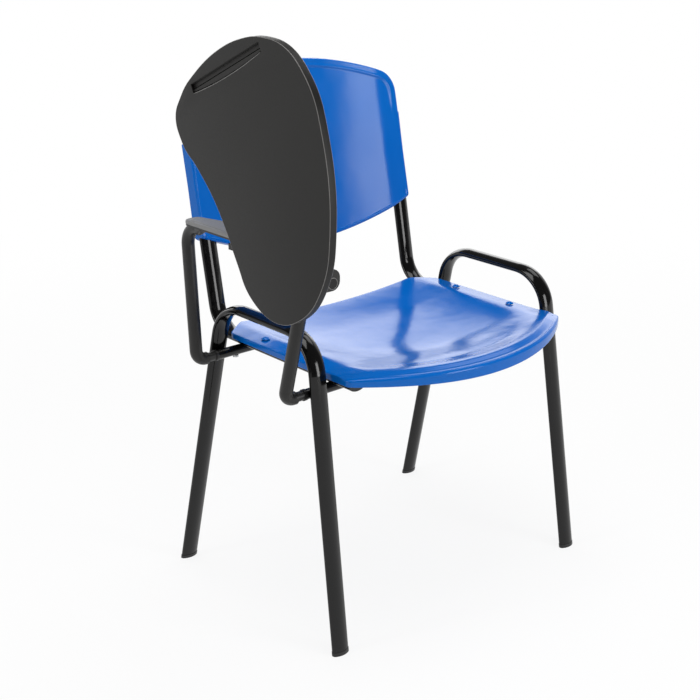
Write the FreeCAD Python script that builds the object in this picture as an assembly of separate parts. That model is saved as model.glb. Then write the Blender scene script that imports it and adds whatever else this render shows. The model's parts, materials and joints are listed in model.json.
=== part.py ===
import FreeCAD, Part
import math
import os

os.makedirs("parts", exist_ok=True)

# Stacking side chair with a folding writing tablet on the sitter's right.
# Millimetres, Z up, the sitter faces -Y, the tablet is on the -X side.
# The tablet is drawn raised, as it stands when nobody writes on it.

# General clearances
weld_gap = 0.1
seat_gap = 0.2
slip_gap = 0.15
body_gap = 0.3
running_gap = 0.05
overrun = 40.0
full_turn = 360.0

# Oval steel tube of the legs, rails and uprights
oval_width = 30.0
oval_thickness = 15.0
oval_end_radius = 4.5
oval_wall = 1.5

# Side frames, one bent tube each
foot_half_spread = 262.5
foot_reach = 202.5
arch_half_spread = 249.5
arch_height = 484.5
arch_front_y = -129.5
arch_rear_y = 91.5
arch_bend_radius = 62.0

# Foot tips
tip_height = 6.0
tip_proud = 0.5
tip_plug_length = 24.0

# Round crossbars
bar_diameter = 16.0
bar_bore = 13.2
bar_height = 402.0
bar_half_length = 265.0

# Seat rails that turn up into the back uprights
rail_half_spread = 211.4
rail_front_y = -179.0
rail_corner_y = 157.0
rail_bend_radius = 50.0
back_lean = 11.0
upright_top_height = 712.0
plug_flange = 2.5
plug_depth = 16.0

# Seat shell
seat_half_width = 230.5
seat_rear_y = 134.0
seat_rear_half_width = 188.0
seat_chamfer_y = 103.0
seat_front_y = -268.0
seat_front_radius = 354.0
seat_corner_radius = 14.0
seat_rear_corner_radius = 12.0
seat_wall = 3.6
seat_skirt = 12.0
seat_least_skirt = 7.0
seat_lip_drop = 6.3
seat_lip_start_y = -183.0
seat_edge_round = 4.0
seat_rise = 11.0
seat_rise_start_y = -106.0
seat_roll_width = 30.0
seat_roll_drop = 12.0
seat_bowl_half_width = 198.0
seat_bowl_depth = 14.5
seat_bowl_front_y = -262.0
seat_bowl_full_y = -60.0
seat_boss_height = 3.4
seat_boss_diameter = 22.0
seat_columns = 14
seat_rows = 9
rail_notch_gap = 0.8

# Rows of the seat's surface beside its front edge, as shares of the roll's width
seat_roll_shares = (-1.1, -0.6, -0.2, 0.2, 0.6, 1.0, 1.5)

# Seat screws and the domed caps over them
screw_front_y = -90.0
screw_rear_y = 37.0
screw_diameter = 5.0
screw_length = 15.0
screw_head_diameter = 9.5
screw_head_height = 1.6
cap_diameter = 14.0
cap_height = 3.6

# Back shell
back_half_width = 226.5
back_top_half_width = 223.0
back_corner_height = 567.0
back_side_height = 168.0
back_crown_height = 264.0
back_sag = 46.0
back_corner_radius = 46.0
back_foot_radius = 7.0
back_wall = 3.0
back_hollow = 22.0
back_strip_width = 38.0
back_strip_fall = 2.5
back_flange = 9.0
back_draft = 3.0
sleeve_wall = 2.6
back_screw_height = 120.0

# Writing arm, round tube with pressed-flat armrest stretch
arm_diameter = 20.0
arm_wall = 2.0
arm_height = 618.5
arm_rear_top_y = 107.0
arm_front_top_y = -184.0
arm_top_bend = 30.0
arm_top_straight = 3.0
arm_elbow_bend = 16.0
arm_elbow_straight = 3.0
flat_width = 27.0
flat_thickness = 5.0
flat_wall = 1.6
flat_press_length = 22.0
flat_front_y = -72.0

# Pins that plug the arm into the crossbars
stub_diameter = 13.0
stub_root_length = 2.5
stub_insert = 58.0
stub_show = 14.4
collar_diameter = 17.6
collar_width = 4.5
sleeve_diameter = 14.8
lock_screw_inset = 37.0
lock_screw_diameter = 5.0
lock_screw_depth = 9.0
lock_head_diameter = 9.0
lock_head_height = 3.0

# Armrest moulding and its grained inlay
rest_wall = 2.1
rest_cover = 2.5
rest_rear_y = 92.0
rest_front_y = -70.0
rest_reach = 45.0
rest_edge_round = 3.5
rest_rear_round = 9.0
rest_front_round = 18.0
rest_inner_bulge = 4.0
inlay_inset = 4.0
inlay_recess = 1.2
inlay_proud = 0.9
rest_screw_rear_y = 34.0
rest_screw_front_y = -46.0
rest_screw_diameter = 4.5
rest_screw_head = 8.5
rest_screw_head_height = 2.4

# Folding hinge
axis_inboard = 20.0
axis_drop = 23.5
shaft_diameter = 14.0
barrel_diameter = 18.0
barrel_rear_y = -34.0
barrel_front_y = -186.0
stop_collar_width = 6.0
stop_tooth_width = 6.0
stop_outer_diameter = 26.0
stop_fixed_angle = 92.0
stop_fixed_middle = 270.0
stop_slack_angle = 2.0
fold_angle = 90.0
hub_front_y = -211.0
hub_diameter = 26.0
hub_offset = 2.5
hub_rise = 4.5
shaft_nose = 1.0
shaft_tail = 7.0
ring_width = 3.0
ring_diameter = 18.0
saddle_width = 22.0
saddle_front_y = -96.0
saddle_length = 36.0
saddle_tongue = 16.0
saddle_plate_thickness = 9.0
saddle_pad_height = 6.0

# Tablet carrier plate
plate_thickness = 3.0
plate_rear_y = -92.0
plate_below = 29.0
plate_above = 81.0
plate_corner_radius = 10.0
plate_screw_inset = 13.0

# Writing tablet
tablet_reach = 50.0
tablet_thickness = 11.5
tablet_skin = 3.2
tablet_rim = 3.4
tablet_face_round = 3.6
tablet_rear_y = 62.5
tablet_front_y = -279.0
tablet_below = 56.0
tablet_above = 327.5
tablet_rib_thickness = 2.2
tablet_rib_pitch = 44.0
tablet_boss_diameter = 15.0
tablet_screw_diameter = 4.2
tablet_screw_head = 8.0
tablet_screw_head_height = 2.2
groove_length = 167.6
groove_end_width = 12.4
groove_mid_width = 17.4
groove_depth = 5.2
groove_step_depth = 2.6
groove_slope = 23.7
groove_start_inset = 45.7
groove_start_drop = 74.8
groove_floor_wall = 2.2
groove_corner_radius = 2.5

# Outline of the tablet as shares of its depth and height, from the rear bottom corner of its box
tablet_outline_shares = (
    (0.420, 1.000), (0.560, 0.977), (0.700, 0.925), (0.830, 0.850), (0.946, 0.753), (1.000, 0.655),
    (0.955, 0.563), (0.850, 0.484), (0.750, 0.393), (0.668, 0.290), (0.600, 0.182), (0.520, 0.070),
    (0.342, 0.000), (0.150, 0.068), (0.040, 0.209), (0.000, 0.440), (0.032, 0.672), (0.125, 0.877),
    (0.250, 0.975),
)

# Places that follow from the sizes above
arm_shoulder_x = -bar_half_length - weld_gap - collar_width - stub_show
arm_x = arm_shoulder_x - arm_elbow_bend - arm_elbow_straight
lock_screw_x = lock_screw_inset - bar_half_length
rest_top = arm_height + arm_diameter / 2 + rest_cover
rest_bottom = arm_height + arm_diameter / 2 - flat_thickness
rest_inner_x = arm_x + rest_reach
axis_x = arm_x + axis_inboard
axis_z = arm_height - axis_drop
plate_bottom_z = axis_z - plate_below
plate_top_z = axis_z + plate_above
tablet_back_x = axis_x - tablet_reach
tablet_bottom_z = axis_z - tablet_below
tablet_top_z = axis_z + tablet_above
groove_start_y = tablet_rear_y - groove_start_inset
groove_start_z = tablet_top_z - groove_start_drop

V = FreeCAD.Vector
UP = V(0, 0, 1)
ACROSS = V(1, 0, 0)
AHEAD = V(0, -1, 0)

nodes = {}


# Section outlines

def frame_at(origin, along, across):
    """Placement with Z along a run and X across it."""
    side = along.cross(across)
    rows = FreeCAD.Matrix(
        across.x, side.x, along.x, origin.x,
        across.y, side.y, along.y, origin.y,
        across.z, side.z, along.z, origin.z,
        0, 0, 0, 1)
    return FreeCAD.Placement(rows)


def oval_wire(inset):
    """Outline of the oval tube drawn in by inset: four tangent arcs, wide along X."""
    half = oval_width / 2 - inset
    rise = oval_thickness / 2 - inset
    end = oval_end_radius - inset
    flank = ((half - end) ** 2 + rise ** 2 - end ** 2) / (2 * (rise - end))
    share = flank / (flank - end)
    touch_x = (half - end) * share
    touch_y = (flank - rise) * (share - 1)
    arcs = [Part.Arc(V(touch_x, touch_y, 0), V(0, rise, 0), V(-touch_x, touch_y, 0)),
            Part.Arc(V(-touch_x, touch_y, 0), V(-half, 0, 0), V(-touch_x, -touch_y, 0)),
            Part.Arc(V(-touch_x, -touch_y, 0), V(0, -rise, 0), V(touch_x, -touch_y, 0)),
            Part.Arc(V(touch_x, -touch_y, 0), V(half, 0, 0), V(touch_x, touch_y, 0))]
    return Part.Wire([arc.toShape() for arc in arcs])


def flat_oval_wire(width, thickness):
    """Flat-oval outline in the XY plane, wide along X."""
    radius = thickness / 2
    flat = width / 2 - radius
    top = Part.LineSegment(V(flat, radius, 0), V(-flat, radius, 0))
    left = Part.Arc(V(-flat, radius, 0), V(-flat - radius, 0, 0), V(-flat, -radius, 0))
    bottom = Part.LineSegment(V(-flat, -radius, 0), V(flat, -radius, 0))
    right = Part.Arc(V(flat, -radius, 0), V(flat + radius, 0, 0), V(flat, radius, 0))
    return Part.Wire([part.toShape() for part in (top, left, bottom, right)])


def round_wire(diameter):
    """Circle in the XY plane."""
    return Part.Wire([Part.Circle(V(0, 0, 0), UP, diameter / 2).toShape()])


def quartered_wire(diameter):
    """Circle cut into four arcs, to loft against a flat oval."""
    radius = diameter / 2
    spots = []
    for eighth in range(1, 10):
        angle = math.radians(full_turn * eighth / 8)
        spots.append(V(radius * math.cos(angle), radius * math.sin(angle), 0))
    arcs = [Part.Arc(spots[i], spots[i + 1], spots[i + 2]).toShape() for i in range(0, 8, 2)]
    return Part.Wire(arcs)


def ring_face(outer, inner=None):
    """Face inside one outline and outside another."""
    face = Part.Face(outer)
    return face if inner is None else face.cut(Part.Face(inner))


def oval_face():
    """Hollow section of the oval tube."""
    return ring_face(oval_wire(0), oval_wire(oval_wall))


def plain_oval_face(grow):
    """Full oval face, larger than the tube by grow on each side."""
    return Part.Face(oval_wire(-grow))


# Bent tubes

def bent_tube(points, radius, face, across):
    """Straight runs joined by tangent arcs, with one section all the way."""
    pieces = []
    start = points[0]
    for i in range(len(points) - 1):
        along = (points[i + 1] - points[i]).normalize()
        last = i == len(points) - 2
        back = 0.0
        if not last:
            onward = (points[i + 2] - points[i + 1]).normalize()
            turn = along.getAngle(onward)
            back = radius * math.tan(turn / 2)
        end = points[i + 1] - along * back
        section = face.copy()
        section.Placement = frame_at(start, along, across)
        pieces.append(section.extrude(end - start))
        if last:
            break
        axis = along.cross(onward).normalize()
        centre = end + axis.cross(along) * radius
        section = face.copy()
        section.Placement = frame_at(end, along, across)
        pieces.append(section.revolve(centre, axis, math.degrees(turn)))
        across = FreeCAD.Rotation(axis, math.degrees(turn)).multVec(across)
        start = points[i + 1] + onward * back
    return pieces[0].multiFuse(pieces[1:]).removeSplitter()


def cylinder(start, end, diameter):
    """Round bar between two points."""
    return Part.makeCylinder(diameter / 2, (end - start).Length, start, end - start)


def tube(start, end, diameter, bore):
    """Round tube between two points."""
    return cylinder(start, end, diameter).cut(cylinder(start, end, bore))


def block(low, high):
    """Box between two corners."""
    size = high - low
    return Part.makeBox(size.x, size.y, size.z, low)


def upright_edges(shape):
    """Edges of a tall prism that run up it."""
    return [edge for edge in shape.Edges if edge.BoundBox.ZLength > overrun]


# Side frames

arch_splay = math.atan((foot_half_spread - arch_half_spread) / arch_height)


def arch_point(side, y, z):
    """Point of a side frame's centre line at a height above the floor."""
    return V(side * (arch_half_spread + (arch_height - z) * math.tan(arch_splay)), y, z)


def leg_run(side, rear):
    """Top corner and foot of one leg's centre line."""
    top_y = arch_rear_y if rear else arch_front_y
    foot_y = foot_reach if rear else -foot_reach
    return arch_point(side, top_y, arch_height), arch_point(side, foot_y, 0)


def leg_y_at(rear, z):
    """Place of a leg's centre line at a height."""
    top, foot = leg_run(1, rear)
    return foot.y + (top.y - foot.y) * z / arch_height


def side_across(side):
    """Wide direction of a side frame's section."""
    return V(math.cos(arch_splay), 0, side * math.sin(arch_splay))


def floor_slab(low, high):
    """Slab between two heights, wider than the chair."""
    reach = 2 * (foot_half_spread + foot_reach)
    return block(V(-reach, -reach, low), V(reach, reach, high))


def side_frame(side):
    """Front leg, top bar and rear leg in one bent oval tube."""
    front_top, front_foot = leg_run(side, False)
    rear_top, rear_foot = leg_run(side, True)
    front_end = front_foot + (front_foot - front_top).normalize() * overrun
    rear_end = rear_foot + (rear_foot - rear_top).normalize() * overrun
    path = [front_end, front_top, rear_top, rear_end]
    shape = bent_tube(path, arch_bend_radius, oval_face(), side_across(side))
    return shape.cut(floor_slab(-2 * overrun, tip_height))


def foot_tip(side, rear):
    """Plug with a flange that stands flat on the floor."""
    top, foot = leg_run(side, rear)
    along = (top - foot).normalize()
    start = foot - along * overrun
    reach = along * (2 * overrun + tip_plug_length)
    flange = plain_oval_face(tip_proud)
    flange.Placement = frame_at(start, along, side_across(side))
    plug = plain_oval_face(-oval_wall - slip_gap)
    plug.Placement = frame_at(start, along, side_across(side))
    low = flange.extrude(reach).common(floor_slab(0, tip_height - weld_gap))
    high = plug.extrude(reach).common(floor_slab(tip_height / 2, tip_height + tip_plug_length))
    return low.fuse(high).removeSplitter()


# Crossbars

def leg_stand_off(rear):
    """Level distance from a leaning leg's centre line to the crossbar that touches it."""
    top, foot = leg_run(1, rear)
    lean_back = math.atan(abs(foot.y - top.y) / arch_height)
    return (oval_thickness / 2 + bar_diameter / 2 + weld_gap) / math.cos(lean_back)


bar_front_y = leg_y_at(False, bar_height) + leg_stand_off(False)
bar_rear_y = leg_y_at(True, bar_height) - leg_stand_off(True)
rail_height = bar_height + bar_diameter / 2 + weld_gap + oval_thickness / 2


def bar_y(rear):
    """Place of a crossbar along the chair."""
    return bar_rear_y if rear else bar_front_y


def lock_hole(rear, diameter, top):
    """Cutter for the screw that holds the arm's pin in a crossbar."""
    low = V(lock_screw_x, bar_y(rear), bar_height - bar_diameter)
    return cylinder(low, V(low.x, low.y, top), diameter)


def crossbar(rear):
    """Round tube that joins the side frames and carries the rails."""
    y = bar_y(rear)
    shape = tube(V(-bar_half_length, y, bar_height), V(bar_half_length, y, bar_height),
                 bar_diameter, bar_bore)
    return shape.cut(lock_hole(rear, lock_screw_diameter + 2 * slip_gap, bar_height))


def crossbar_plug(rear):
    """Plastic plug in the crossbar end that carries no arm."""
    y = bar_y(rear)
    face = V(bar_half_length + weld_gap, y, bar_height)
    flange = cylinder(face, face + ACROSS * plug_flange, bar_diameter)
    stem = cylinder(face - ACROSS * plug_depth, face + ACROSS * plug_flange / 2,
                    bar_bore - 2 * slip_gap)
    dome = flange.makeFillet(plug_flange / 2, [flange.Edges[0]])
    return dome.fuse(stem).removeSplitter()


# Seat rails and uprights

lean = math.radians(back_lean)
upright_along = V(0, math.sin(lean), math.cos(lean))


def rail_point(side, along):
    """Point up the upright from the rail's corner."""
    return V(side * rail_half_spread, rail_corner_y, rail_height) + upright_along * along


def upright_length():
    """Length from the rail's corner to the top of the upright."""
    return (upright_top_height - rail_height) / math.cos(lean)


def seat_rail(side):
    """Rail and upright in one bent oval tube."""
    path = [V(side * rail_half_spread, rail_front_y, rail_height), rail_point(side, 0),
            rail_point(side, upright_length())]
    shape = bent_tube(path, rail_bend_radius, oval_face(), ACROSS)
    for y in (screw_front_y, screw_rear_y):
        shape = shape.cut(cylinder(V(side * rail_half_spread, y, rail_height),
                                   V(side * rail_half_spread, y, rail_height + oval_thickness),
                                   screw_diameter + 2 * slip_gap))
    return shape.cut(back_screw_bar(side, screw_diameter + 2 * slip_gap, oval_thickness))


def rail_plug(side):
    """Plastic plug in the front end of a rail."""
    face = V(side * rail_half_spread, rail_front_y - weld_gap, rail_height)
    flange = plain_oval_face(0)
    flange.Placement = frame_at(face, AHEAD, ACROSS)
    flange = flange.extrude(AHEAD * plug_flange)
    stem = plain_oval_face(-oval_wall - slip_gap)
    stem.Placement = frame_at(face + AHEAD * plug_flange / 2, -AHEAD, ACROSS)
    return flange.fuse(stem.extrude(-AHEAD * (plug_depth + plug_flange / 2))).removeSplitter()


# Seat shell

seat_arc_centre_y = seat_front_y + seat_front_radius
flange_bottom = rail_height + oval_thickness / 2 + seat_gap + seat_boss_height
flange_top = flange_bottom + seat_wall


def smooth(share):
    """Zero to one with level ends."""
    share = min(max(share, 0.0), 1.0)
    return share * share * (3 - 2 * share)


def seat_front_at(x):
    """Place of the seat's curved front edge."""
    return seat_arc_centre_y - math.sqrt(seat_front_radius ** 2 - x ** 2)


def seat_top(x, y):
    """Height of the seat's top surface: bowl, rising front and rolled front edge."""
    rise = seat_rise * smooth((seat_rise_start_y - y) / (seat_rise_start_y - seat_front_y))
    hollow = smooth(1 - abs(x) / seat_bowl_half_width)
    fade = smooth((y - seat_bowl_front_y) / (seat_bowl_full_y - seat_bowl_front_y))
    roll = max(1 - (y - seat_front_at(x)) / seat_roll_width, 0.0)
    return flange_top + rise - seat_bowl_depth * hollow * fade - seat_roll_drop * roll ** 2


def seat_hem_cut(floor):
    """Solid below the skirt's lower edge, which is level and then dips along the front."""
    reach = seat_half_width + overrun
    hem = flange_top - seat_skirt
    run = seat_lip_start_y - seat_front_y
    radius = (run ** 2 + seat_lip_drop ** 2) / (2 * seat_lip_drop)
    end_drop = radius - math.sqrt(radius ** 2 - (run + overrun) ** 2)
    rear = V(-reach, seat_rear_y + overrun, hem)
    start = V(-reach, seat_lip_start_y, hem)
    front = V(-reach, seat_front_y, hem - seat_lip_drop)
    end = V(-reach, seat_front_y - overrun, hem - end_drop)
    corners = [end, V(-reach, end.y, floor), V(-reach, rear.y, floor), rear, start]
    edges = [Part.LineSegment(one, two).toShape() for one, two in zip(corners, corners[1:])]
    edges.append(Part.Arc(start, front, end).toShape())
    return Part.Face(Part.Wire(edges)).extrude(ACROSS * 2 * reach)


def seat_surface(height):
    """Smooth face through heights on a grid whose rows follow the front edge."""
    rows = []
    reach = seat_half_width + overrun
    for i in range(seat_columns + 1):
        x = reach * (2 * i / seat_columns - 1)
        front = seat_front_at(x)
        places = [front + share * seat_roll_width for share in seat_roll_shares]
        start = places[-1]
        end = seat_rear_y + overrun
        places += [start + (end - start) * j / seat_rows for j in range(1, seat_rows + 1)]
        rows.append([V(x, y, height(x, y)) for y in places])
    surface = Part.BSplineSurface()
    surface.interpolate(rows)
    return surface.toShape()


def seat_prism(inset, floor):
    """Seat outline, drawn in by inset, as a tall prism."""
    half = seat_half_width - inset
    radius = seat_front_radius - inset
    side_front_y = seat_arc_centre_y - math.sqrt(radius ** 2 - half ** 2)
    slope = math.atan2(seat_rear_y - seat_chamfer_y, seat_half_width - seat_rear_half_width)
    chamfer_y = seat_chamfer_y - inset * math.tan((math.pi / 2 - slope) / 2)
    rear_half = seat_rear_half_width - inset * math.tan(slope / 2)
    rear_y = seat_rear_y - inset
    corners = [V(half, side_front_y, floor), V(half, chamfer_y, floor), V(rear_half, rear_y, floor),
               V(-rear_half, rear_y, floor), V(-half, chamfer_y, floor), V(-half, side_front_y, floor)]
    edges = [Part.LineSegment(start, end).toShape() for start, end in zip(corners, corners[1:])]
    middle = V(0, seat_arc_centre_y - radius, floor)
    edges.append(Part.Arc(corners[-1], middle, corners[0]).toShape())
    prism = Part.Face(Part.Wire(edges)).extrude(UP * (flange_top + 2 * overrun - floor))
    front = [edge for edge in upright_edges(prism) if edge.BoundBox.YMax < 0]
    prism = prism.makeFillet(seat_corner_radius - inset, front)
    rear = [edge for edge in upright_edges(prism) if edge.BoundBox.YMax > 0]
    return prism.makeFillet(seat_rear_corner_radius, rear)


def seat_shell():
    """Moulded seat with bowl, rolled front lip and a skirt all round."""
    floor = flange_top - 2 * overrun
    deep = -UP * 4 * overrun
    top = seat_surface(seat_top)
    under = seat_surface(lambda x, y: seat_top(x, y) - seat_wall)
    outer = seat_prism(0, floor).common(top.extrude(deep))
    lowest = flange_top - seat_bowl_depth - seat_roll_drop
    rim = [edge for edge in outer.Edges if edge.BoundBox.ZMin > lowest]
    outer = outer.makeFillet(seat_edge_round, rim)
    room = seat_prism(seat_wall, floor)
    skirt_cut = seat_hem_cut(floor).cut(room).cut(top.extrude(-UP * seat_least_skirt))
    shell = outer.cut(room.common(under.extrude(deep))).cut(skirt_cut)
    for side in (-1, 1):
        for y in (screw_front_y, screw_rear_y):
            spot = V(side * rail_half_spread, y, flange_bottom)
            shell = shell.fuse(cylinder(spot - UP * seat_boss_height, spot + UP * seat_wall / 2,
                                        seat_boss_diameter))
            shell = shell.cut(cylinder(spot - UP * overrun, spot + UP * overrun,
                                       screw_diameter + 2 * slip_gap))
        shell = shell.cut(rail_clearance(side))
    return shell.removeSplitter()


def rail_clearance(side):
    """Space that the rail's upward bend needs through the skirt."""
    path = [V(side * rail_half_spread, seat_chamfer_y - overrun, rail_height), rail_point(side, 0),
            rail_point(side, upright_length())]
    return bent_tube(path, rail_bend_radius, plain_oval_face(rail_notch_gap), ACROSS)


def seat_screw(side, y):
    """Pan-head screw through the seat into the rail."""
    top = flange_top + weld_gap
    head = cylinder(V(side * rail_half_spread, y, top),
                    V(side * rail_half_spread, y, top + screw_head_height), screw_head_diameter)
    shank = cylinder(V(side * rail_half_spread, y, top - screw_length),
                     V(side * rail_half_spread, y, top + screw_head_height / 2), screw_diameter)
    return head.fuse(shank).removeSplitter()


def dome(centre, diameter, height):
    """Low dome standing on a level circle."""
    radius = diameter / 2
    sphere = (radius ** 2 + height ** 2) / (2 * height)
    ball = Part.makeSphere(sphere, centre - UP * (sphere - height))
    return ball.common(cylinder(centre, centre + UP * (height + weld_gap), diameter))


def seat_cap(side, y):
    """Blue dome over a seat screw, hollow over the screw's head."""
    foot = V(side * rail_half_spread, y, flange_top + weld_gap)
    shape = dome(foot, cap_diameter, cap_height)
    pocket = cylinder(foot - UP * weld_gap, foot + UP * (screw_head_height + slip_gap),
                      screw_head_diameter + 2 * slip_gap)
    return shape.cut(pocket)


# Back shell, drawn in a frame that leans with the uprights

back_offset = oval_thickness / 2 + seat_gap + back_wall
sleeve_depth = back_wall + oval_thickness + 2 * seat_gap + sleeve_wall


def back_origin():
    """Point of the lean frame: middle of the chair at the height of the lower corners."""
    along = (back_corner_height - rail_height) / math.cos(lean)
    return V(0, rail_corner_y, rail_height) + upright_along * along


def back_placement():
    """Frame with X across, Y up the lean and Z forward out of the shell."""
    forward = V(0, -math.cos(lean), math.sin(lean))
    origin = back_origin() + forward * back_offset
    rows = FreeCAD.Matrix(
        1, upright_along.x, forward.x, origin.x,
        0, upright_along.y, forward.y, origin.y,
        0, upright_along.z, forward.z, origin.z,
        0, 0, 0, 1)
    return FreeCAD.Placement(rows)


back_crease = back_half_width - back_strip_width


def back_front(x):
    """Depth of the back's front surface, negative to the rear."""
    reach = abs(x)
    if reach >= back_crease:
        return -back_strip_fall * (back_half_width - reach) / back_strip_width
    share = reach / back_crease
    return -back_strip_fall - back_hollow * (1 - share ** 2)


def back_outline(inset, depth):
    """Outline of the back in its lean frame, wider to the rear by the draft."""
    inset = inset + back_draft * depth / sleeve_depth
    foot = back_half_width - inset
    slope = (back_half_width - back_top_half_width) / back_side_height
    eave_y = back_side_height + back_corner_radius
    eave_x = foot - slope * eave_y
    corners = [V(-foot, 0, depth), V(0, -back_sag, depth), V(foot, 0, depth),
               V(eave_x, eave_y, depth), V(0, back_crown_height, depth), V(-eave_x, eave_y, depth)]
    edges = [Part.Arc(corners[0], corners[1], corners[2]).toShape(),
             Part.LineSegment(corners[2], corners[3]).toShape(),
             Part.Arc(corners[3], corners[4], corners[5]).toShape(),
             Part.LineSegment(corners[5], corners[0]).toShape()]
    return Part.Wire(edges)


def back_prism(inset, depth):
    """Outline of the back as a drafted prism through its whole depth."""
    prism = Part.makeLoft([back_outline(inset, -depth), back_outline(inset, overrun)], True, True)
    high = [edge for edge in upright_edges(prism) if edge.BoundBox.YMax > back_side_height]
    prism = prism.makeFillet(back_corner_radius - inset, high)
    low = [edge for edge in upright_edges(prism) if edge.BoundBox.YMax < back_foot_radius]
    prism = prism.makeFillet(back_foot_radius, low)
    if inset > 0:
        inner_top = prism.copy()
        inner_top.translate(V(0, -inset, 0))
        inner_low = prism.copy()
        inner_low.translate(V(0, inset, 0))
        prism = inner_top.common(inner_low)
    return prism


def back_bend_faces():
    """Left strip, hollow and right strip of the front surface, top to bottom."""
    low = -back_sag - overrun
    high = back_crown_height + overrun
    end = back_half_width + overrun
    strip = []
    for side in (-1, 1):
        outer = V(side * end, 0, back_strip_fall * overrun / back_strip_width)
        crease = V(side * back_crease, 0, -back_strip_fall)
        strip.append((outer, crease))
    middle = V(0, 0, back_front(0))
    outline = [Part.LineSegment(strip[0][0], strip[0][1]).toShape(),
               Part.Arc(strip[0][1], middle, strip[1][1]).toShape(),
               Part.LineSegment(strip[1][1], strip[1][0]).toShape()]
    wire = Part.Wire(outline)
    wire.translate(V(0, low, 0))
    return wire, V(0, high - low, 0)


def back_slab(front_drop, depth):
    """Solid between the front surface, moved back by a drop, and a depth behind it."""
    wire, climb = back_bend_faces()
    sheet = wire.extrude(climb)
    front = sheet.copy()
    front.translate(UP * -front_drop)
    return front.extrude(UP * -depth)


def back_sleeve(side, grow):
    """Bore around an upright."""
    start = V(side * rail_half_spread, -back_sag - overrun, -back_offset)
    face = plain_oval_face(grow)
    face.Placement = frame_at(start, V(0, 1, 0), ACROSS)
    return face.extrude(V(0, back_sag + overrun + upright_end(), 0))


def upright_end():
    """Height of the upright's end in the lean frame, with its clearance."""
    return (upright_top_height - back_corner_height) / math.cos(lean) + body_gap


def back_pocket_box(side, depth):
    """Box behind a side strip, from the shell's edge to the pocket's inner wall."""
    edge = side * (back_half_width + overrun)
    inner = side * (rail_half_spread - oval_width / 2 - seat_gap - sleeve_wall)
    low = V(min(edge, inner), -back_sag - overrun, -depth)
    high = V(max(edge, inner), upright_end() + sleeve_wall, overrun)
    return block(low, high)


def back_shell():
    """Moulded back: hollow panel with a returned rim and two pockets for the uprights."""
    depth = sleeve_depth + back_hollow + back_strip_fall
    full = back_prism(0, depth).common(back_slab(0, sleeve_depth))
    body = full.common(back_slab(0, back_flange))
    cavity = back_prism(back_wall, depth).common(back_slab(back_wall, depth))
    for side in (-1, 1):
        body = body.fuse(full.common(back_pocket_box(side, sleeve_depth)))
        cavity = cavity.cut(back_pocket_box(side, depth + overrun))
    body = body.removeSplitter()
    body = body.cut(cavity)
    for side in (-1, 1):
        body = body.cut(back_sleeve(side, seat_gap))
    body.Placement = back_placement()
    for side in (-1, 1):
        body = body.cut(back_screw_bar(side, screw_diameter + 2 * slip_gap, sleeve_depth))
    return body


def back_screw_line(side):
    """Middle of the upright where the back's screw passes, and the way out to the rear."""
    along = (back_corner_height - rail_height) / math.cos(lean) + back_screw_height
    rearward = V(0, math.cos(lean), -math.sin(lean))
    return rail_point(side, along), rearward


def back_screw_bar(side, diameter, reach):
    """Cutter for the back's screw, from the upright's bore out to the rear."""
    middle, rearward = back_screw_line(side)
    return cylinder(middle, middle + rearward * reach, diameter)


def back_screw(side):
    """Screw that holds the back shell to its upright."""
    middle, rearward = back_screw_line(side)
    face = middle + rearward * (sleeve_depth - back_offset + weld_gap)
    head = cylinder(face, face + rearward * screw_head_height, screw_head_diameter)
    shank = cylinder(middle, face + rearward * screw_head_height / 2, screw_diameter)
    return head.fuse(shank).removeSplitter()


# Writing arm

def arm_corner(rear, top):
    """Corner of the arm's centre line."""
    if top:
        return V(arm_x, arm_rear_top_y if rear else arm_front_top_y, arm_height)
    return V(arm_x, bar_y(rear), bar_height)


def arm_half(rear, face, end_y):
    """Elbow, post and top bend of the arm, ending level at a place on its top bar."""
    foot = V(arm_shoulder_x, bar_y(rear), bar_height)
    elbow = bent_tube([foot, arm_corner(rear, False), middle_of_post(rear)],
                      arm_elbow_bend, face, AHEAD)
    post = bent_tube([middle_of_post(rear), arm_corner(rear, True), V(arm_x, end_y, arm_height)],
                     arm_top_bend, face, ACROSS)
    return elbow.fuse(post).removeSplitter()


def middle_of_post(rear):
    """Half-way point of a post."""
    return (arm_corner(rear, False) + arm_corner(rear, True)) * 0.5


def top_bend_reach(rear):
    """Length that the top bend takes of the top bar."""
    post = (arm_corner(rear, False) - arm_corner(rear, True)).normalize()
    bar = (arm_corner(not rear, True) - arm_corner(rear, True)).normalize()
    return arm_top_bend * math.tan((math.pi - post.getAngle(bar)) / 2)


flat_rear_y = arm_rear_top_y - top_bend_reach(True) - arm_top_straight - flat_press_length
flat_centre_z = arm_height + arm_diameter / 2 - flat_thickness / 2


def pressed_end(y_round, y_flat, inset):
    """Loft from the round tube to the pressed flat."""
    first = quartered_wire(arm_diameter - 2 * inset)
    first.Placement = frame_at(V(arm_x, y_round, arm_height), AHEAD, ACROSS)
    flat_inset = inset * flat_wall / arm_wall
    second = flat_oval_wire(flat_width - 2 * flat_inset, flat_thickness - 2 * flat_inset)
    second.Placement = frame_at(V(arm_x, y_flat, flat_centre_z), AHEAD, ACROSS)
    return Part.makeLoft([first, second], True, True)


def flat_bar(inset, y_rear, y_front):
    """Pressed-flat stretch of the top bar, or the same with a clearance round it."""
    face = Part.Face(flat_oval_wire(flat_width - 2 * inset, flat_thickness - 2 * inset))
    face.Placement = frame_at(V(arm_x, y_rear, flat_centre_z), AHEAD, ACROSS)
    return face.extrude(V(0, y_front - y_rear, 0))


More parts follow.
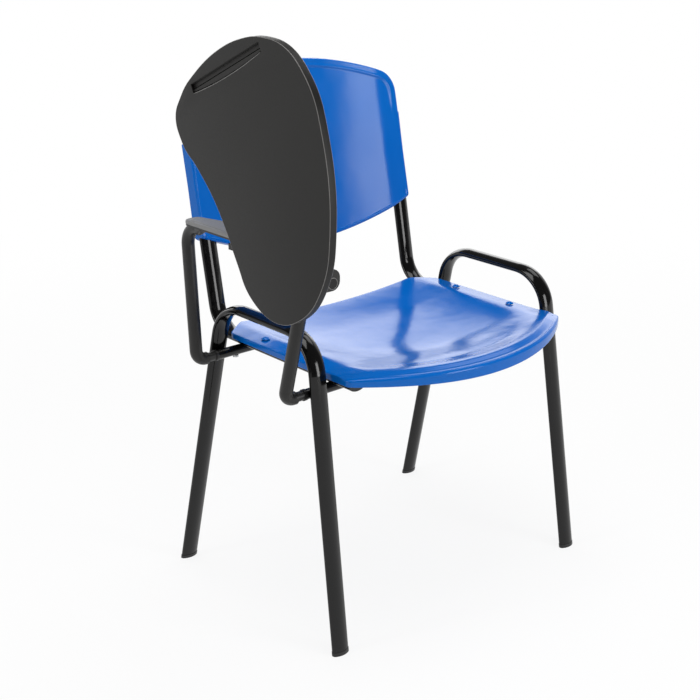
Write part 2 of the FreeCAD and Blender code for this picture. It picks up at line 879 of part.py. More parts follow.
def arm_tube():
    """Whole writing-arm tube with its pressed-flat stretch."""
    face = ring_face(round_wire(arm_diameter), round_wire(arm_diameter - 2 * arm_wall))
    round_rear_y = flat_rear_y + flat_press_length
    round_front_y = flat_front_y - flat_press_length
    rear = arm_half(True, face, round_rear_y)
    front = arm_half(False, face, round_front_y)
    middle = flat_bar(0, flat_rear_y, flat_front_y).cut(flat_bar(flat_wall, flat_rear_y, flat_front_y))
    ends = []
    for y_round, y_flat in ((round_rear_y, flat_rear_y), (round_front_y, flat_front_y)):
        ends.append(pressed_end(y_round, y_flat, 0).cut(pressed_end(y_round, y_flat, arm_wall)))
    shape = rear.multiFuse([ends[0], middle, ends[1], front])
    for y in (rest_screw_rear_y, rest_screw_front_y):
        shape = shape.cut(cylinder(V(arm_x, y, rest_bottom - overrun), V(arm_x, y, rest_top),
                                   rest_screw_diameter + 2 * slip_gap))
    return shape


def arm_stub(rear):
    """Pin fixed in the arm's end that plugs into a crossbar."""
    y = bar_y(rear)
    shoulder = V(arm_shoulder_x, y, bar_height)
    tip = V(stub_insert - bar_half_length, y, bar_height)
    root_end = shoulder - ACROSS * stub_root_length
    root = cylinder(root_end, shoulder, arm_diameter - 2 * arm_wall - 2 * weld_gap)
    pin = cylinder(root_end, tip, stub_diameter)
    pin = pin.fuse(root).removeSplitter()
    return pin.cut(lock_hole(rear, lock_screw_diameter + 2 * slip_gap,
                             bar_height - bar_diameter / 2 + lock_screw_depth))


def arm_collar(rear):
    """Ring against the crossbar's end, with a sleeve over the pin as far as the arm."""
    y = bar_y(rear)
    face = V(-bar_half_length - weld_gap, y, bar_height)
    bore = stub_diameter + 2 * slip_gap
    ring = tube(face - ACROSS * collar_width, face, collar_diameter, bore)
    shoulder = V(arm_shoulder_x + weld_gap, y, bar_height)
    return ring.fuse(tube(shoulder, face, sleeve_diameter, bore)).removeSplitter()


def arm_lock_screw(rear):
    """Screw from below through a crossbar into the arm's pin."""
    y = bar_y(rear)
    foot = V(lock_screw_x, y, bar_height - bar_diameter / 2 - weld_gap)
    head = cylinder(foot - UP * lock_head_height, foot, lock_head_diameter)
    shank = cylinder(foot - UP * lock_head_height / 2, foot + UP * lock_screw_depth,
                     lock_screw_diameter)
    return head.fuse(shank).removeSplitter()


# Armrest

rest_outer_x = arm_x - flat_width / 2 - slip_gap - rest_wall


def rest_prism(inset, low, high):
    """Plan of the armrest as a prism: straight outside, wider to the front on the inside."""
    outer = rest_outer_x + inset
    inner = rest_inner_x - inset
    rear = rest_rear_y - inset
    front = rest_front_y + inset
    narrow = arm_x + arm_diameter / 2 - inset
    bulge = V((narrow + inner) / 2 + rest_inner_bulge, (rear + front) / 2, 0)
    corners = [V(outer, front, 0), V(outer, rear, 0), V(narrow, rear, 0), V(inner, front, 0)]
    edges = [Part.LineSegment(corners[0], corners[1]).toShape(),
             Part.LineSegment(corners[1], corners[2]).toShape(),
             Part.Arc(corners[2], bulge, corners[3]).toShape(),
             Part.LineSegment(corners[3], corners[0]).toShape()]
    plan = Part.Face(Part.Wire(edges))
    plan.translate(UP * low)
    prism = plan.extrude(UP * (high - low))
    middle_y = (rear + front) / 2
    upright = [edge for edge in prism.Edges if edge.BoundBox.ZLength > (high - low) / 2]
    back = [edge for edge in upright if edge.BoundBox.YMin > middle_y]
    prism = prism.makeFillet(rest_rear_round - inset / 2, back)
    upright = [edge for edge in prism.Edges if edge.BoundBox.ZLength > (high - low) / 2]
    ahead = [edge for edge in upright if edge.BoundBox.YMax < middle_y]
    return prism.makeFillet(rest_front_round - inset, ahead)


def armrest_base():
    """Moulded armrest that wraps the pressed-flat tube."""
    body = rest_prism(0, rest_bottom, rest_top)
    rim = [edge for edge in body.Edges if edge.BoundBox.ZMin > rest_top - weld_gap]
    body = body.makeFillet(rest_edge_round, rim)
    channel = flat_bar(-slip_gap, flat_rear_y + overrun, flat_front_y - overrun)
    slot = block(V(arm_x - flat_width / 2 - slip_gap, rest_front_y - overrun, rest_bottom - overrun),
                 V(arm_x + flat_width / 2 + slip_gap, rest_rear_y + overrun, flat_centre_z))
    body = body.cut(channel).cut(slot)
    bore = pressed_end(flat_rear_y + flat_press_length, flat_rear_y, -slip_gap)
    body = body.cut(bore)
    body = body.cut(cylinder(V(arm_x, flat_rear_y + flat_press_length, arm_height),
                             V(arm_x, rest_rear_y + overrun, arm_height), arm_diameter + 2 * slip_gap))
    body = body.cut(rest_prism(inlay_inset, rest_top - inlay_recess, rest_top + overrun))
    for y in (rest_screw_rear_y, rest_screw_front_y):
        body = body.cut(cylinder(V(arm_x, y, rest_bottom), V(arm_x, y, rest_top - inlay_recess - seat_gap),
                                 rest_screw_diameter + 2 * slip_gap))
    return body


def armrest_inlay():
    """Grained pad let into the armrest's top."""
    body = rest_prism(inlay_inset + slip_gap, rest_top - inlay_recess + weld_gap, rest_top + inlay_proud)
    rim = [edge for edge in body.Edges if edge.BoundBox.ZMin > rest_top + inlay_proud / 2]
    return body.makeFillet(inlay_proud / 2, rim)


def armrest_screw(y, seat_z):
    """Screw from below into the armrest."""
    foot = V(arm_x, y, seat_z - weld_gap)
    head = cylinder(foot - UP * rest_screw_head_height, foot, rest_screw_head)
    shank = cylinder(foot - UP * rest_screw_head_height / 2,
                     V(arm_x, y, rest_top - inlay_recess - seat_gap - slip_gap), rest_screw_diameter)
    return head.fuse(shank).removeSplitter()


# Folding hinge

def on_axis(y):
    """Point of the hinge axis."""
    return V(axis_x, y, axis_z)


def sector(start_y, end_y, outer, inner, middle_angle, span):
    """Part of a ring about the hinge axis; angles from outboard, turning up."""
    ring = tube(on_axis(start_y), on_axis(end_y), outer, inner)
    reach = outer
    first = math.radians(middle_angle - span / 2)
    fan = [V(axis_x, start_y, axis_z)]
    steps = 1 + math.ceil(span * 6 / full_turn)
    for step in range(steps + 1):
        angle = first + math.radians(span) * step / steps
        fan.append(V(axis_x - reach * math.cos(angle), start_y, axis_z + reach * math.sin(angle)))
    fan.append(fan[0])
    wedge = Part.Face(Part.makePolygon(fan)).extrude(V(0, end_y - start_y, 0))
    return ring.common(wedge)


stop_collar_y = barrel_front_y - weld_gap
stop_tooth_y = stop_collar_y - stop_collar_width
hub_rear_y = stop_tooth_y - stop_tooth_width
barrel_bore = shaft_diameter + 2 * running_gap
stop_moving_angle = full_turn - stop_fixed_angle - fold_angle - stop_slack_angle
stop_moving_middle = stop_fixed_middle + (stop_fixed_angle + stop_slack_angle + stop_moving_angle) / 2


def hinge_barrel():
    """Bearing tube under the armrest."""
    return tube(on_axis(barrel_rear_y), on_axis(barrel_front_y), barrel_diameter, barrel_bore)


def stop_ring():
    """Fixed ring on the barrel's end, with the tooth that limits the fold."""
    ring = tube(on_axis(barrel_front_y - weld_gap), on_axis(stop_tooth_y), stop_outer_diameter, barrel_bore)
    tooth = sector(stop_tooth_y, hub_rear_y + body_gap, stop_outer_diameter, barrel_bore,
                   stop_fixed_middle, stop_fixed_angle)
    return ring.fuse(tooth).removeSplitter()


rest_screw_seat = rest_bottom - weld_gap - saddle_pad_height - saddle_plate_thickness


def hinge_saddle(rear):
    """Cast bracket that joins the barrel to the arm's top bar."""
    start = barrel_rear_y if rear else saddle_front_y
    end = start - saddle_length
    half = saddle_width / 2
    top = rest_bottom - weld_gap if rear else arm_height
    outer_x = axis_x - half if rear else arm_x
    lower = cylinder(on_axis(start), on_axis(end), saddle_width)
    web = block(V(outer_x, end, axis_z), V(axis_x + half, start, top))
    shape = lower.fuse(web)
    if rear:
        pad = block(V(arm_x - flat_width / 2, end, top - saddle_pad_height),
                    V(axis_x + half, start, top))
        plate = block(V(arm_x - flat_width / 2, end, rest_screw_seat),
                      V(axis_x + half, start + saddle_tongue, top - saddle_pad_height))
        spot = V(arm_x, rest_screw_front_y, top)
        hole = cylinder(spot - UP * overrun, spot + UP * overrun, rest_screw_diameter + 2 * slip_gap)
        shape = shape.multiFuse([pad, plate]).cut(hole)
    else:
        bar = V(arm_x, start, arm_height)
        shape = shape.cut(cylinder(bar - AHEAD * overrun, bar + AHEAD * 2 * overrun,
                                   arm_diameter + 2 * weld_gap))
    shape = shape.cut(cylinder(on_axis(start + overrun), on_axis(end - overrun),
                               barrel_diameter + 2 * weld_gap))
    return shape.removeSplitter()


def hinge_shaft():
    """Shaft that turns with the tablet."""
    return cylinder(on_axis(barrel_rear_y + shaft_tail), on_axis(hub_front_y - shaft_nose), shaft_diameter)


def shaft_ring():
    """Ring that keeps the shaft from sliding forward."""
    start = barrel_rear_y + body_gap
    return tube(on_axis(start), on_axis(start + ring_width), ring_diameter, shaft_diameter + 2 * slip_gap)


# Tablet carrier

plate_x = tablet_back_x + weld_gap


def tablet_screw_places():
    """Four screw centres on the carrier plate."""
    ys = (plate_rear_y - plate_screw_inset, hub_front_y + plate_screw_inset)
    zs = (plate_bottom_z + plate_screw_inset, plate_top_z - plate_screw_inset)
    return [(y, z) for y in ys for z in zs]


def tablet_carrier():
    """Hub, arm and plate that carry the tablet on the shaft."""
    half = hub_diameter / 2
    low = UP * hub_offset
    high = UP * (hub_offset + hub_rise)
    hub = cylinder(on_axis(hub_rear_y) + low, on_axis(hub_front_y) + low, hub_diameter)
    crown = cylinder(on_axis(hub_rear_y) + high, on_axis(hub_front_y) + high, hub_diameter)
    neck = block(on_axis(hub_front_y) + low - ACROSS * half, on_axis(hub_rear_y) + high + ACROSS * half)
    arm = block(V(plate_x, hub_front_y, axis_z + hub_offset - half),
                V(axis_x, hub_rear_y, axis_z + hub_offset + hub_rise + half))
    tooth = sector(stop_tooth_y - body_gap, hub_rear_y, stop_outer_diameter, barrel_bore,
                   stop_moving_middle, stop_moving_angle)
    plate = block(V(plate_x, hub_front_y, plate_bottom_z),
                  V(plate_x + plate_thickness, plate_rear_y, plate_top_z))
    corners = [edge for edge in plate.Edges if edge.BoundBox.XLength > plate_thickness / 2]
    plate = plate.makeFillet(plate_corner_radius, corners)
    shape = hub.multiFuse([crown, neck, arm, plate, tooth])
    shape = shape.cut(cylinder(on_axis(hub_rear_y + overrun), on_axis(hub_front_y - overrun),
                               shaft_diameter + 2 * slip_gap))
    for y, z in tablet_screw_places():
        shape = shape.cut(cylinder(V(plate_x - overrun, y, z), V(plate_x + overrun, y, z),
                                   tablet_screw_diameter + 2 * slip_gap))
    return shape.removeSplitter()


# Writing tablet, drawn in the YZ plane

def tablet_point(share_y, share_z):
    """Point of the tablet's outline."""
    return V(tablet_back_x, tablet_front_y + (tablet_rear_y - tablet_front_y) * share_y,
             tablet_bottom_z + (tablet_top_z - tablet_bottom_z) * share_z)


def arc_from(start, knee, end):
    """Arc tangent to the two lines that meet at the knee."""
    middle = (start + end) * 0.5
    share = (end - start).Length / (2 * (knee - start).Length)
    return Part.Arc(start, middle + (knee - middle) * (share / (1 + share)), end).toShape()


def arc_pair(start, start_along, end, end_along):
    """Two tangent arcs between two points with set directions."""
    chord = end - start
    both = start_along + end_along
    open_share = 2 * (1 - start_along.dot(end_along))
    along = chord.dot(both)
    reach = (math.sqrt(along ** 2 + open_share * chord.dot(chord)) - along) / open_share
    first_knee = start + start_along * reach
    second_knee = end - end_along * reach
    meeting = (first_knee + second_knee) * 0.5
    return [arc_from(start, first_knee, meeting), arc_from(meeting, second_knee, end)]


def tablet_wire(inset):
    """Tablet outline drawn in by an even distance, as a chain of tangent arcs."""
    points = [tablet_point(*shares) for shares in tablet_outline_shares]
    count = len(points)
    alongs = []
    for i in range(count):
        before = points[i] - points[i - 1]
        after = points[(i + 1) % count] - points[i]
        along = before * after.dot(after) + after * before.dot(before)
        alongs.append(along.normalize())
    points = [point + along.cross(ACROSS) * inset for point, along in zip(points, alongs)]
    edges = []
    for i in range(count):
        after = (i + 1) % count
        edges += arc_pair(points[i], alongs[i], points[after], alongs[after])
    return Part.Wire(edges)


def groove_solid(grow, depth):
    """Pencil groove, or the pad behind it, from the writing face inward."""
    slope = math.radians(groove_slope)
    along = V(0, -math.cos(slope), math.sin(slope))
    down = V(0, -math.sin(slope), -math.cos(slope))
    start = V(tablet_back_x - tablet_thickness, groove_start_y, groove_start_z)
    first = start - along * grow - down * grow
    second = start + along * (groove_length + grow) - down * grow
    third = second + down * (groove_end_width + 2 * grow)
    fourth = first + down * (groove_end_width + 2 * grow)
    low = (third + fourth) * 0.5 + down * (groove_mid_width - groove_end_width)
    edges = [Part.LineSegment(first, second).toShape(), Part.LineSegment(second, third).toShape(),
             Part.Arc(third, low, fourth).toShape(), Part.LineSegment(fourth, first).toShape()]
    solid = Part.Face(Part.Wire(edges)).extrude(ACROSS * depth)
    ends = [edge for edge in solid.Edges if edge.BoundBox.XLength > depth / 2]
    return solid.makeFillet(groove_corner_radius, ends)


def tablet_board():
    """Moulded board with rounded face edge, pencil groove and ribs behind."""
    body = Part.Face(tablet_wire(0)).extrude(ACROSS * -tablet_thickness)
    face_x = tablet_back_x - tablet_thickness
    rim = [edge for edge in body.Edges if edge.BoundBox.XMax < face_x + weld_gap]
    body = body.makeFillet(tablet_face_round, rim)
    hollow = Part.Face(tablet_wire(tablet_rim)).extrude(ACROSS * -(tablet_thickness - tablet_skin))
    ribs = []
    span_y = tablet_rear_y - tablet_front_y
    span_z = tablet_top_z - tablet_bottom_z
    back = tablet_back_x
    deep = face_x + tablet_skin / 2
    half = tablet_rib_thickness / 2
    for step in range(1, math.ceil(span_y / tablet_rib_pitch)):
        y = tablet_front_y + step * tablet_rib_pitch
        ribs.append(block(V(deep, y - half, tablet_bottom_z), V(back, y + half, tablet_top_z)))
    for step in range(1, math.ceil(span_z / tablet_rib_pitch)):
        z = tablet_bottom_z + step * tablet_rib_pitch
        ribs.append(block(V(deep, tablet_front_y, z - half), V(back, tablet_rear_y, z + half)))
    for y, z in tablet_screw_places():
        ribs.append(cylinder(V(deep, y, z), V(back, y, z), tablet_boss_diameter))
    pad = groove_solid(tablet_rib_thickness, groove_depth + groove_floor_wall)
    grid = ribs[0].multiFuse(ribs[1:]).common(hollow)
    body = body.cut(hollow).fuse(grid).fuse(pad.common(hollow))
    body = body.cut(groove_solid(0, groove_step_depth))
    slope = math.radians(groove_slope)
    trough = groove_solid(0, groove_depth)
    shift = V(0, -math.sin(slope), -math.cos(slope)) * (groove_end_width / 2)
    keep = trough.copy()
    keep.translate(shift)
    body = body.cut(trough.common(keep))
    for y, z in tablet_screw_places():
        body = body.cut(cylinder(V(deep + tablet_skin, y, z), V(back + overrun, y, z),
                                 tablet_screw_diameter + 2 * slip_gap))
    return body.removeSplitter()


def tablet_screw(y, z):
    """Screw that holds the board to the carrier plate."""
    face = V(plate_x + plate_thickness + weld_gap, y, z)
    head = cylinder(face, face + ACROSS * tablet_screw_head_height, tablet_screw_head)
    tip = V(tablet_back_x - tablet_thickness + 2 * tablet_skin, y, z)
    shank = cylinder(tip, face + ACROSS * tablet_screw_head_height / 2, tablet_screw_diameter)
    return head.fuse(shank).removeSplitter()


# Assembly

SIDES = (("tablet_side", -1), ("open_side", 1))
ENDS = (("front", False), ("rear", True))

for side_name, side in SIDES:
    nodes[side_name + "_frame"] = side_frame(side)
    nodes[side_name + "_rail"] = seat_rail(side)
    nodes[side_name + "_rail_plug"] = rail_plug(side)
    nodes[side_name + "_back_screw"] = back_screw(side)
    for end_name, rear in ENDS:
        nodes[side_name + "_" + end_name + "_foot"] = foot_tip(side, rear)
        screw_y = screw_rear_y if rear else screw_front_y
        nodes[side_name + "_" + end_name + "_seat_screw"] = seat_screw(side, screw_y)
        nodes[side_name + "_" + end_name + "_seat_cap"] = seat_cap(side, screw_y)

for end_name, rear in ENDS:
    nodes[end_name + "_crossbar"] = crossbar(rear)
    nodes[end_name + "_crossbar_plug"] = crossbar_plug(rear)
    nodes["arm_" + end_name + "_stub"] = arm_stub(rear)
    nodes["arm_" + end_name + "_collar"] = arm_collar(rear)
    nodes["arm_" + end_name + "_lock_screw"] = arm_lock_screw(rear)
    nodes["hinge_" + end_name + "_saddle"] = hinge_saddle(rear)

nodes["seat_shell"] = seat_shell()
nodes["back_shell"] = back_shell()
nodes["arm_tube"] = arm_tube()
nodes["armrest_base"] = armrest_base()
nodes["armrest_inlay"] = armrest_inlay()
nodes["armrest_rear_screw"] = armrest_screw(rest_screw_rear_y, rest_bottom)
nodes["armrest_front_screw"] = armrest_screw(rest_screw_front_y, rest_screw_seat)
nodes["hinge_barrel"] = hinge_barrel()
nodes["hinge_stop_ring"] = stop_ring()
nodes["hinge_shaft"] = hinge_shaft()
nodes["hinge_shaft_ring"] = shaft_ring()
nodes["tablet_carrier"] = tablet_carrier()
nodes["tablet_board"] = tablet_board()
for number, (screw_y, screw_z) in enumerate(tablet_screw_places(), start=1):
    nodes["tablet_screw_%d" % number] = tablet_screw(screw_y, screw_z)

# The part stands on the floor with its box centred on the origin
whole = FreeCAD.BoundBox()
for shape in nodes.values():
    whole.add(shape.optimalBoundingBox(False))
shift = V(-whole.Center.x, -whole.Center.y, -whole.ZMin)

for name, shape in nodes.items():
    placed = shape.copy()
    placed.translate(shift)
    placed.exportStep("parts/" + name + ".step")
    print(name, "solids", len(placed.Solids), "volume", round(placed.Volume), "valid", placed.isValid())

print("shift", [round(value, 3) for value in shift], "nodes", len(nodes))
print("size", round(whole.XLength, 1), round(whole.YLength, 1), round(whole.ZLength, 1))
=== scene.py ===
import json
import math

import bmesh
import bpy
import numpy as np
from mathutils import Matrix, Vector
from mathutils.geometry import convex_hull_2d


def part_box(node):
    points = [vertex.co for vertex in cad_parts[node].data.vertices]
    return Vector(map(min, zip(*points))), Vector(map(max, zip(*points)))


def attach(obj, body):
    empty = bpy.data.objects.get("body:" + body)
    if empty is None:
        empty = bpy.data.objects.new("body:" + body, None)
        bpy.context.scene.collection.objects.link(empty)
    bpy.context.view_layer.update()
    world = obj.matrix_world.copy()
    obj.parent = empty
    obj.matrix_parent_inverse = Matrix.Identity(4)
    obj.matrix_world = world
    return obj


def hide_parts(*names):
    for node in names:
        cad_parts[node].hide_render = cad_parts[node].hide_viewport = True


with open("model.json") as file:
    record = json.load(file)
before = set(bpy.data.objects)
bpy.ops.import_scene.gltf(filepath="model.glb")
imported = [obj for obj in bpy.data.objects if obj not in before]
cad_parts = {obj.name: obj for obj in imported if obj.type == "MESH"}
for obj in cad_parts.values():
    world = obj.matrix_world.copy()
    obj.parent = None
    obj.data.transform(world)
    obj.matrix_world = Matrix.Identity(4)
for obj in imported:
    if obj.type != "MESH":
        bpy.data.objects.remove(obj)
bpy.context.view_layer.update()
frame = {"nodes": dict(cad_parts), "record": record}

nodes = frame["nodes"]
scene = bpy.context.scene
scene.view_settings.view_transform = "Standard"


# Camera
CAMERA_PLACE = (-1.3715, -1.5253, 1.1316)
CAMERA_YAW = 41.043
CAMERA_PITCH = -20.023
CAMERA_ROLL = 0.105
CAMERA_LENS = 68.63
CAMERA_SENSOR = 36.0
CAMERA_REACH = 60.0


def add_camera():
    data = bpy.data.cameras.new("photo_camera")
    data.sensor_width = CAMERA_SENSOR
    data.sensor_fit = "HORIZONTAL"
    data.lens = CAMERA_LENS
    data.clip_end = CAMERA_REACH
    camera = bpy.data.objects.new("photo_camera", data)
    scene.collection.objects.link(camera)
    turn = Matrix.Rotation(-math.radians(CAMERA_YAW), 4, "Z")
    tilt = Matrix.Rotation(math.pi / 2 + math.radians(CAMERA_PITCH), 4, "X")
    roll = Matrix.Rotation(math.radians(CAMERA_ROLL), 4, "Z")
    camera.matrix_world = Matrix.Translation(CAMERA_PLACE) @ turn @ tilt @ roll
    scene.camera = camera


add_camera()


# Materials
NOISE_LOW = 0.3
NOISE_HIGH = 0.7
FINE_GRAIN = 0.00003
COATING_PATCHES = 9.0
COATING_GLOSS_PATCHES = 60.0
COATING_PEEL = 420.0
PLASTIC_PATCHES = 7.0
SHELL_PATCHES = 4.0
SHELL_GLOSS_PATCHES = 30.0
SHELL_WAVES = 14.0
SHELL_WAVE_DEPTH = 0.0016
SHELL_GRAIN = 700.0
SHELL_SPECULAR = 0.24
PLATE_PATCHES = 180.0
PLATE_GLOSS_PATCHES = 240.0
PLATE_GRAIN = 900.0
PLATE_GRAIN_DEPTH = 0.00002


class Graph:
    """The node tree of one material, with short calls that add nodes and join them."""

    def __init__(self, name):
        self.material = bpy.data.materials.new(name)
        self.material.use_nodes = True
        self.tree = self.material.node_tree
        self.shader = self.tree.nodes["Principled BSDF"]
        self.place = self.add("ShaderNodeTexCoord").outputs["Object"]

    def add(self, kind, **values):
        node = self.tree.nodes.new(kind)
        for key, value in values.items():
            setattr(node, key, value)
        return node

    def join(self, out, into):
        self.tree.links.new(out, into)

    def noise(self, scale, detail=2.0, rough=0.5):
        node = self.add("ShaderNodeTexNoise")
        node.inputs["Scale"].default_value = scale
        node.inputs["Detail"].default_value = detail
        node.inputs["Roughness"].default_value = rough
        self.join(self.place, node.inputs["Vector"])
        return node.outputs["Fac"]

    def voronoi(self, scale):
        node = self.add("ShaderNodeTexVoronoi")
        node.inputs["Scale"].default_value = scale
        self.join(self.place, node.inputs["Vector"])
        return node.outputs["Distance"]

    def spread(self, source, low_value, high_value):
        """A noise stretched to run between two values."""
        node = self.add("ShaderNodeMapRange")
        node.inputs["From Min"].default_value = NOISE_LOW
        node.inputs["From Max"].default_value = NOISE_HIGH
        node.inputs["To Min"].default_value = low_value
        node.inputs["To Max"].default_value = high_value
        self.join(source, node.inputs["Value"])
        return node.outputs["Result"]

    def bump(self, height, depth, strength=1.0, onto=None):
        node = self.add("ShaderNodeBump")
        node.inputs["Distance"].default_value = depth
        node.inputs["Strength"].default_value = strength
        self.join(height, node.inputs["Height"])
        if onto:
            self.join(onto, node.inputs["Normal"])
        return node.outputs["Normal"]

    def paint(self, source, one, two):
        """Base colour that wanders between two colours."""
        node = self.add("ShaderNodeMix", data_type="RGBA")
        node.inputs["A"].default_value = (*one, 1.0)
        node.inputs["B"].default_value = (*two, 1.0)
        self.join(self.spread(source, 0.0, 1.0), node.inputs["Factor"])
        self.join(node.outputs["Result"], self.shader.inputs["Base Color"])

    def gloss(self, source, low, high):
        self.join(self.spread(source, low, high), self.shader.inputs["Roughness"])

    def relief(self, normal):
        self.join(normal, self.shader.inputs["Normal"])


def coated_steel(name, colour, roughness, specular):
    """Stoved paint on steel: faint orange peel, gloss that varies a little."""
    graph = Graph(name)
    graph.paint(graph.noise(COATING_PATCHES), colour, tuple(part * 1.25 for part in colour))
    graph.gloss(graph.noise(COATING_GLOSS_PATCHES, 3.0), roughness * 0.85, roughness * 1.2)
    graph.relief(graph.bump(graph.noise(COATING_PEEL, 2.0), FINE_GRAIN))
    graph.shader.inputs["Specular IOR Level"].default_value = specular
    return graph.material


def moulded_plastic(name, colour, roughness, specular, grain, depth, contrast=0.12):
    """Fine spark-eroded grain over a moulded part."""
    graph = Graph(name)
    darker = tuple(part * (1.0 - contrast) for part in colour)
    lighter = tuple(part * (1.0 + contrast) for part in colour)
    graph.paint(graph.noise(PLASTIC_PATCHES, 4.0), darker, lighter)
    graph.gloss(graph.noise(grain * 0.5, 3.0), roughness * 0.9, roughness * 1.1)
    fine = graph.bump(graph.noise(grain, 3.0, 0.6), depth)
    graph.relief(graph.bump(graph.voronoi(grain * 0.8), depth, 0.6, fine))
    graph.shader.inputs["Specular IOR Level"].default_value = specular
    return graph.material


def glossy_shell(name):
    """Polished blue plastic, with the slow waves that a large moulding has."""
    graph = Graph(name)
    graph.paint(graph.noise(SHELL_PATCHES), (0.0, 0.114, 0.475), (0.0, 0.126, 0.505))
    graph.gloss(graph.noise(SHELL_GLOSS_PATCHES, 4.0), 0.13, 0.19)
    wave = graph.bump(graph.noise(SHELL_WAVES, 2.0), SHELL_WAVE_DEPTH, 0.55)
    graph.relief(graph.bump(graph.noise(SHELL_GRAIN, 2.0), FINE_GRAIN, 0.5, wave))
    graph.shader.inputs["Specular IOR Level"].default_value = SHELL_SPECULAR
    return graph.material


def plated_steel(name):
    """Bright zinc on screws, with a fine spangle."""
    graph = Graph(name)
    graph.paint(graph.noise(PLATE_PATCHES, 4.0), (0.44, 0.45, 0.47), (0.58, 0.58, 0.57))
    graph.gloss(graph.noise(PLATE_GLOSS_PATCHES, 3.0), 0.28, 0.42)
    graph.relief(graph.bump(graph.noise(PLATE_GRAIN, 2.0), PLATE_GRAIN_DEPTH))
    graph.shader.inputs["Metallic"].default_value = 1.0
    return graph.material


# each slot's colour, roughness and specular level, and for plastic its grain, depth and contrast
FINISHES = {
    "frame_black": coated_steel("frame_black_coat", (0.0024, 0.0023, 0.0023), 0.10, 0.36),
    "arm_black": coated_steel("arm_black_coat", (0.0115, 0.0112, 0.0108), 0.36, 0.34),
    "black_plastic": moulded_plastic("black_plastic_grain", (0.013, 0.013, 0.013), 0.38, 0.40,
                                     900.0, FINE_GRAIN),
    "blue_shell": glossy_shell("blue_shell_gloss"),
    "tablet_grey": moulded_plastic("tablet_grain", (0.0078, 0.0073, 0.0066), 0.46, 0.26,
                                   1300.0, 0.00006, 0.06),
    "grained_pad": moulded_plastic("pad_grain", (0.20, 0.20, 0.20), 0.50, 0.45, 1000.0, 0.0001, 0.08),
    "zinc": plated_steel("zinc_plate"),
}
# Light grey finish of the thin beads on the tablet's edges and groove and of the hub's lip: its light
# colour is a painted highlight on those edges.
EDGE_HIGHLIGHT_FINISH = moulded_plastic("painted_edge_highlight", (0.17, 0.165, 0.16), 0.34, 0.5, 1300.0, FINE_GRAIN)

for entry in frame["record"]["subparts"]:
    mesh = nodes[entry["node"]].data
    mesh.materials.clear()
    mesh.materials.append(FINISHES[entry["material_slot"]])


# Places
SEAT_REAR_Y = 0.134
SEAT_FRONT_Y = -0.268
UPRIGHT_X = 0.2114
UPRIGHT_DEPTH = 0.0107
seat_low, seat_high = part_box("seat_shell")
SHIFT = Vector(((seat_low.x + seat_high.x) / 2, seat_low.y - SEAT_FRONT_Y, 0.0))


def smooth(share):
    share = np.clip(share, 0.0, 1.0)
    return share * share * (3.0 - 2.0 * share)


def ridge(distance, place, width):
    """A round ridge of height one at a place."""
    return np.exp(-((distance - place) / width) ** 2)


def soft_lower(one, two, width):
    """The lower of two values, with the crossing rounded over a width."""
    gap = np.clip((two - one) / width, -1.0, 1.0)
    return np.minimum(one, two) - width * (1.0 - np.abs(gap)) ** 2 / 4.0


# Mesh helpers
ARC_POINTS = 25


def new_piece(name, points, faces, body, finish):
    """A smooth closed mesh that rides on a body."""
    mesh = bpy.data.meshes.new(name)
    mesh.from_pydata([tuple(point) for point in points], [], faces)
    mesh.validate()
    mesh.shade_smooth()
    piece = bpy.data.objects.new(name, mesh)
    scene.collection.objects.link(piece)
    mesh.materials.append(finish)
    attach(piece, body)
    return piece


def unit(vector):
    return vector / np.linalg.norm(vector)


def polyline_with_arcs(corners):
    """Closed outline from corners (x, y, radius), as dense points in order."""
    count = len(corners)
    points = []
    for i in range(count):
        before = np.array(corners[i - 1][:2])
        here = np.array(corners[i][:2])
        after = np.array(corners[(i + 1) % count][:2])
        radius = corners[i][2]
        back = unit(before - here)
        on = unit(after - here)
        half = math.acos(np.clip(back @ on, -1.0, 1.0)) / 2.0
        reach = radius / math.tan(half)
        centre = here + unit(back + on) * radius / math.sin(half)
        start = here + back * reach
        end = here + on * reach
        first = math.atan2(*(start - centre)[::-1])
        turn = math.atan2(*(end - centre)[::-1]) - first
        turn = (turn + math.pi) % (2.0 * math.pi) - math.pi
        for k in range(ARC_POINTS):
            angle = first + turn * k / (ARC_POINTS - 1)
            points.append(centre + radius * np.array((math.cos(angle), math.sin(angle))))
    return np.array(points)


def resample(path, shares):
    """Points of an open path at shares of its length."""
    steps = np.linalg.norm(np.diff(path, axis=0), axis=1)
    along = np.concatenate(([0.0], np.cumsum(steps)))
    targets = np.asarray(shares) * along[-1]
    return np.stack([np.interp(targets, along, path[:, i]) for i in range(path.shape[1])], axis=1)


def split_loop(loop, corners):
    """Open runs of a closed loop between the points nearest to the given corners."""
    ends = [int(np.argmin(np.linalg.norm(loop - np.array(corner), axis=1))) for corner in corners]
    runs = []
    for i, start in enumerate(ends):
        end = ends[(i + 1) % len(ends)]
        if end <= start:
            end += len(loop)
        runs.append(loop[np.arange(start, end + 1) % len(loop)])
    return runs


def loop_normals(loop):
    """Outward normals of a closed counterclockwise loop."""
    along = np.roll(loop, -1, axis=0) - np.roll(loop, 1, axis=0)
    along /= np.linalg.norm(along, axis=1)[:, None]
    return np.stack((along[:, 1], -along[:, 0]), axis=1)


def coons(bottom, right, top, left):
    """Grid of points inside four runs that meet at their ends, rows from bottom to top."""
    u = np.linspace(0.0, 1.0, len(bottom))[None, :, None]
    v = np.linspace(0.0, 1.0, len(left))[:, None, None]
    ruled = (1 - v) * bottom[None] + v * top[None] + (1 - u) * left[:, None] + u * right[:, None]
    corners = ((1 - u) * (1 - v) * bottom[0] + u * (1 - v) * bottom[-1]
               + (1 - u) * v * top[0] + u * v * top[-1])
    return ruled - corners


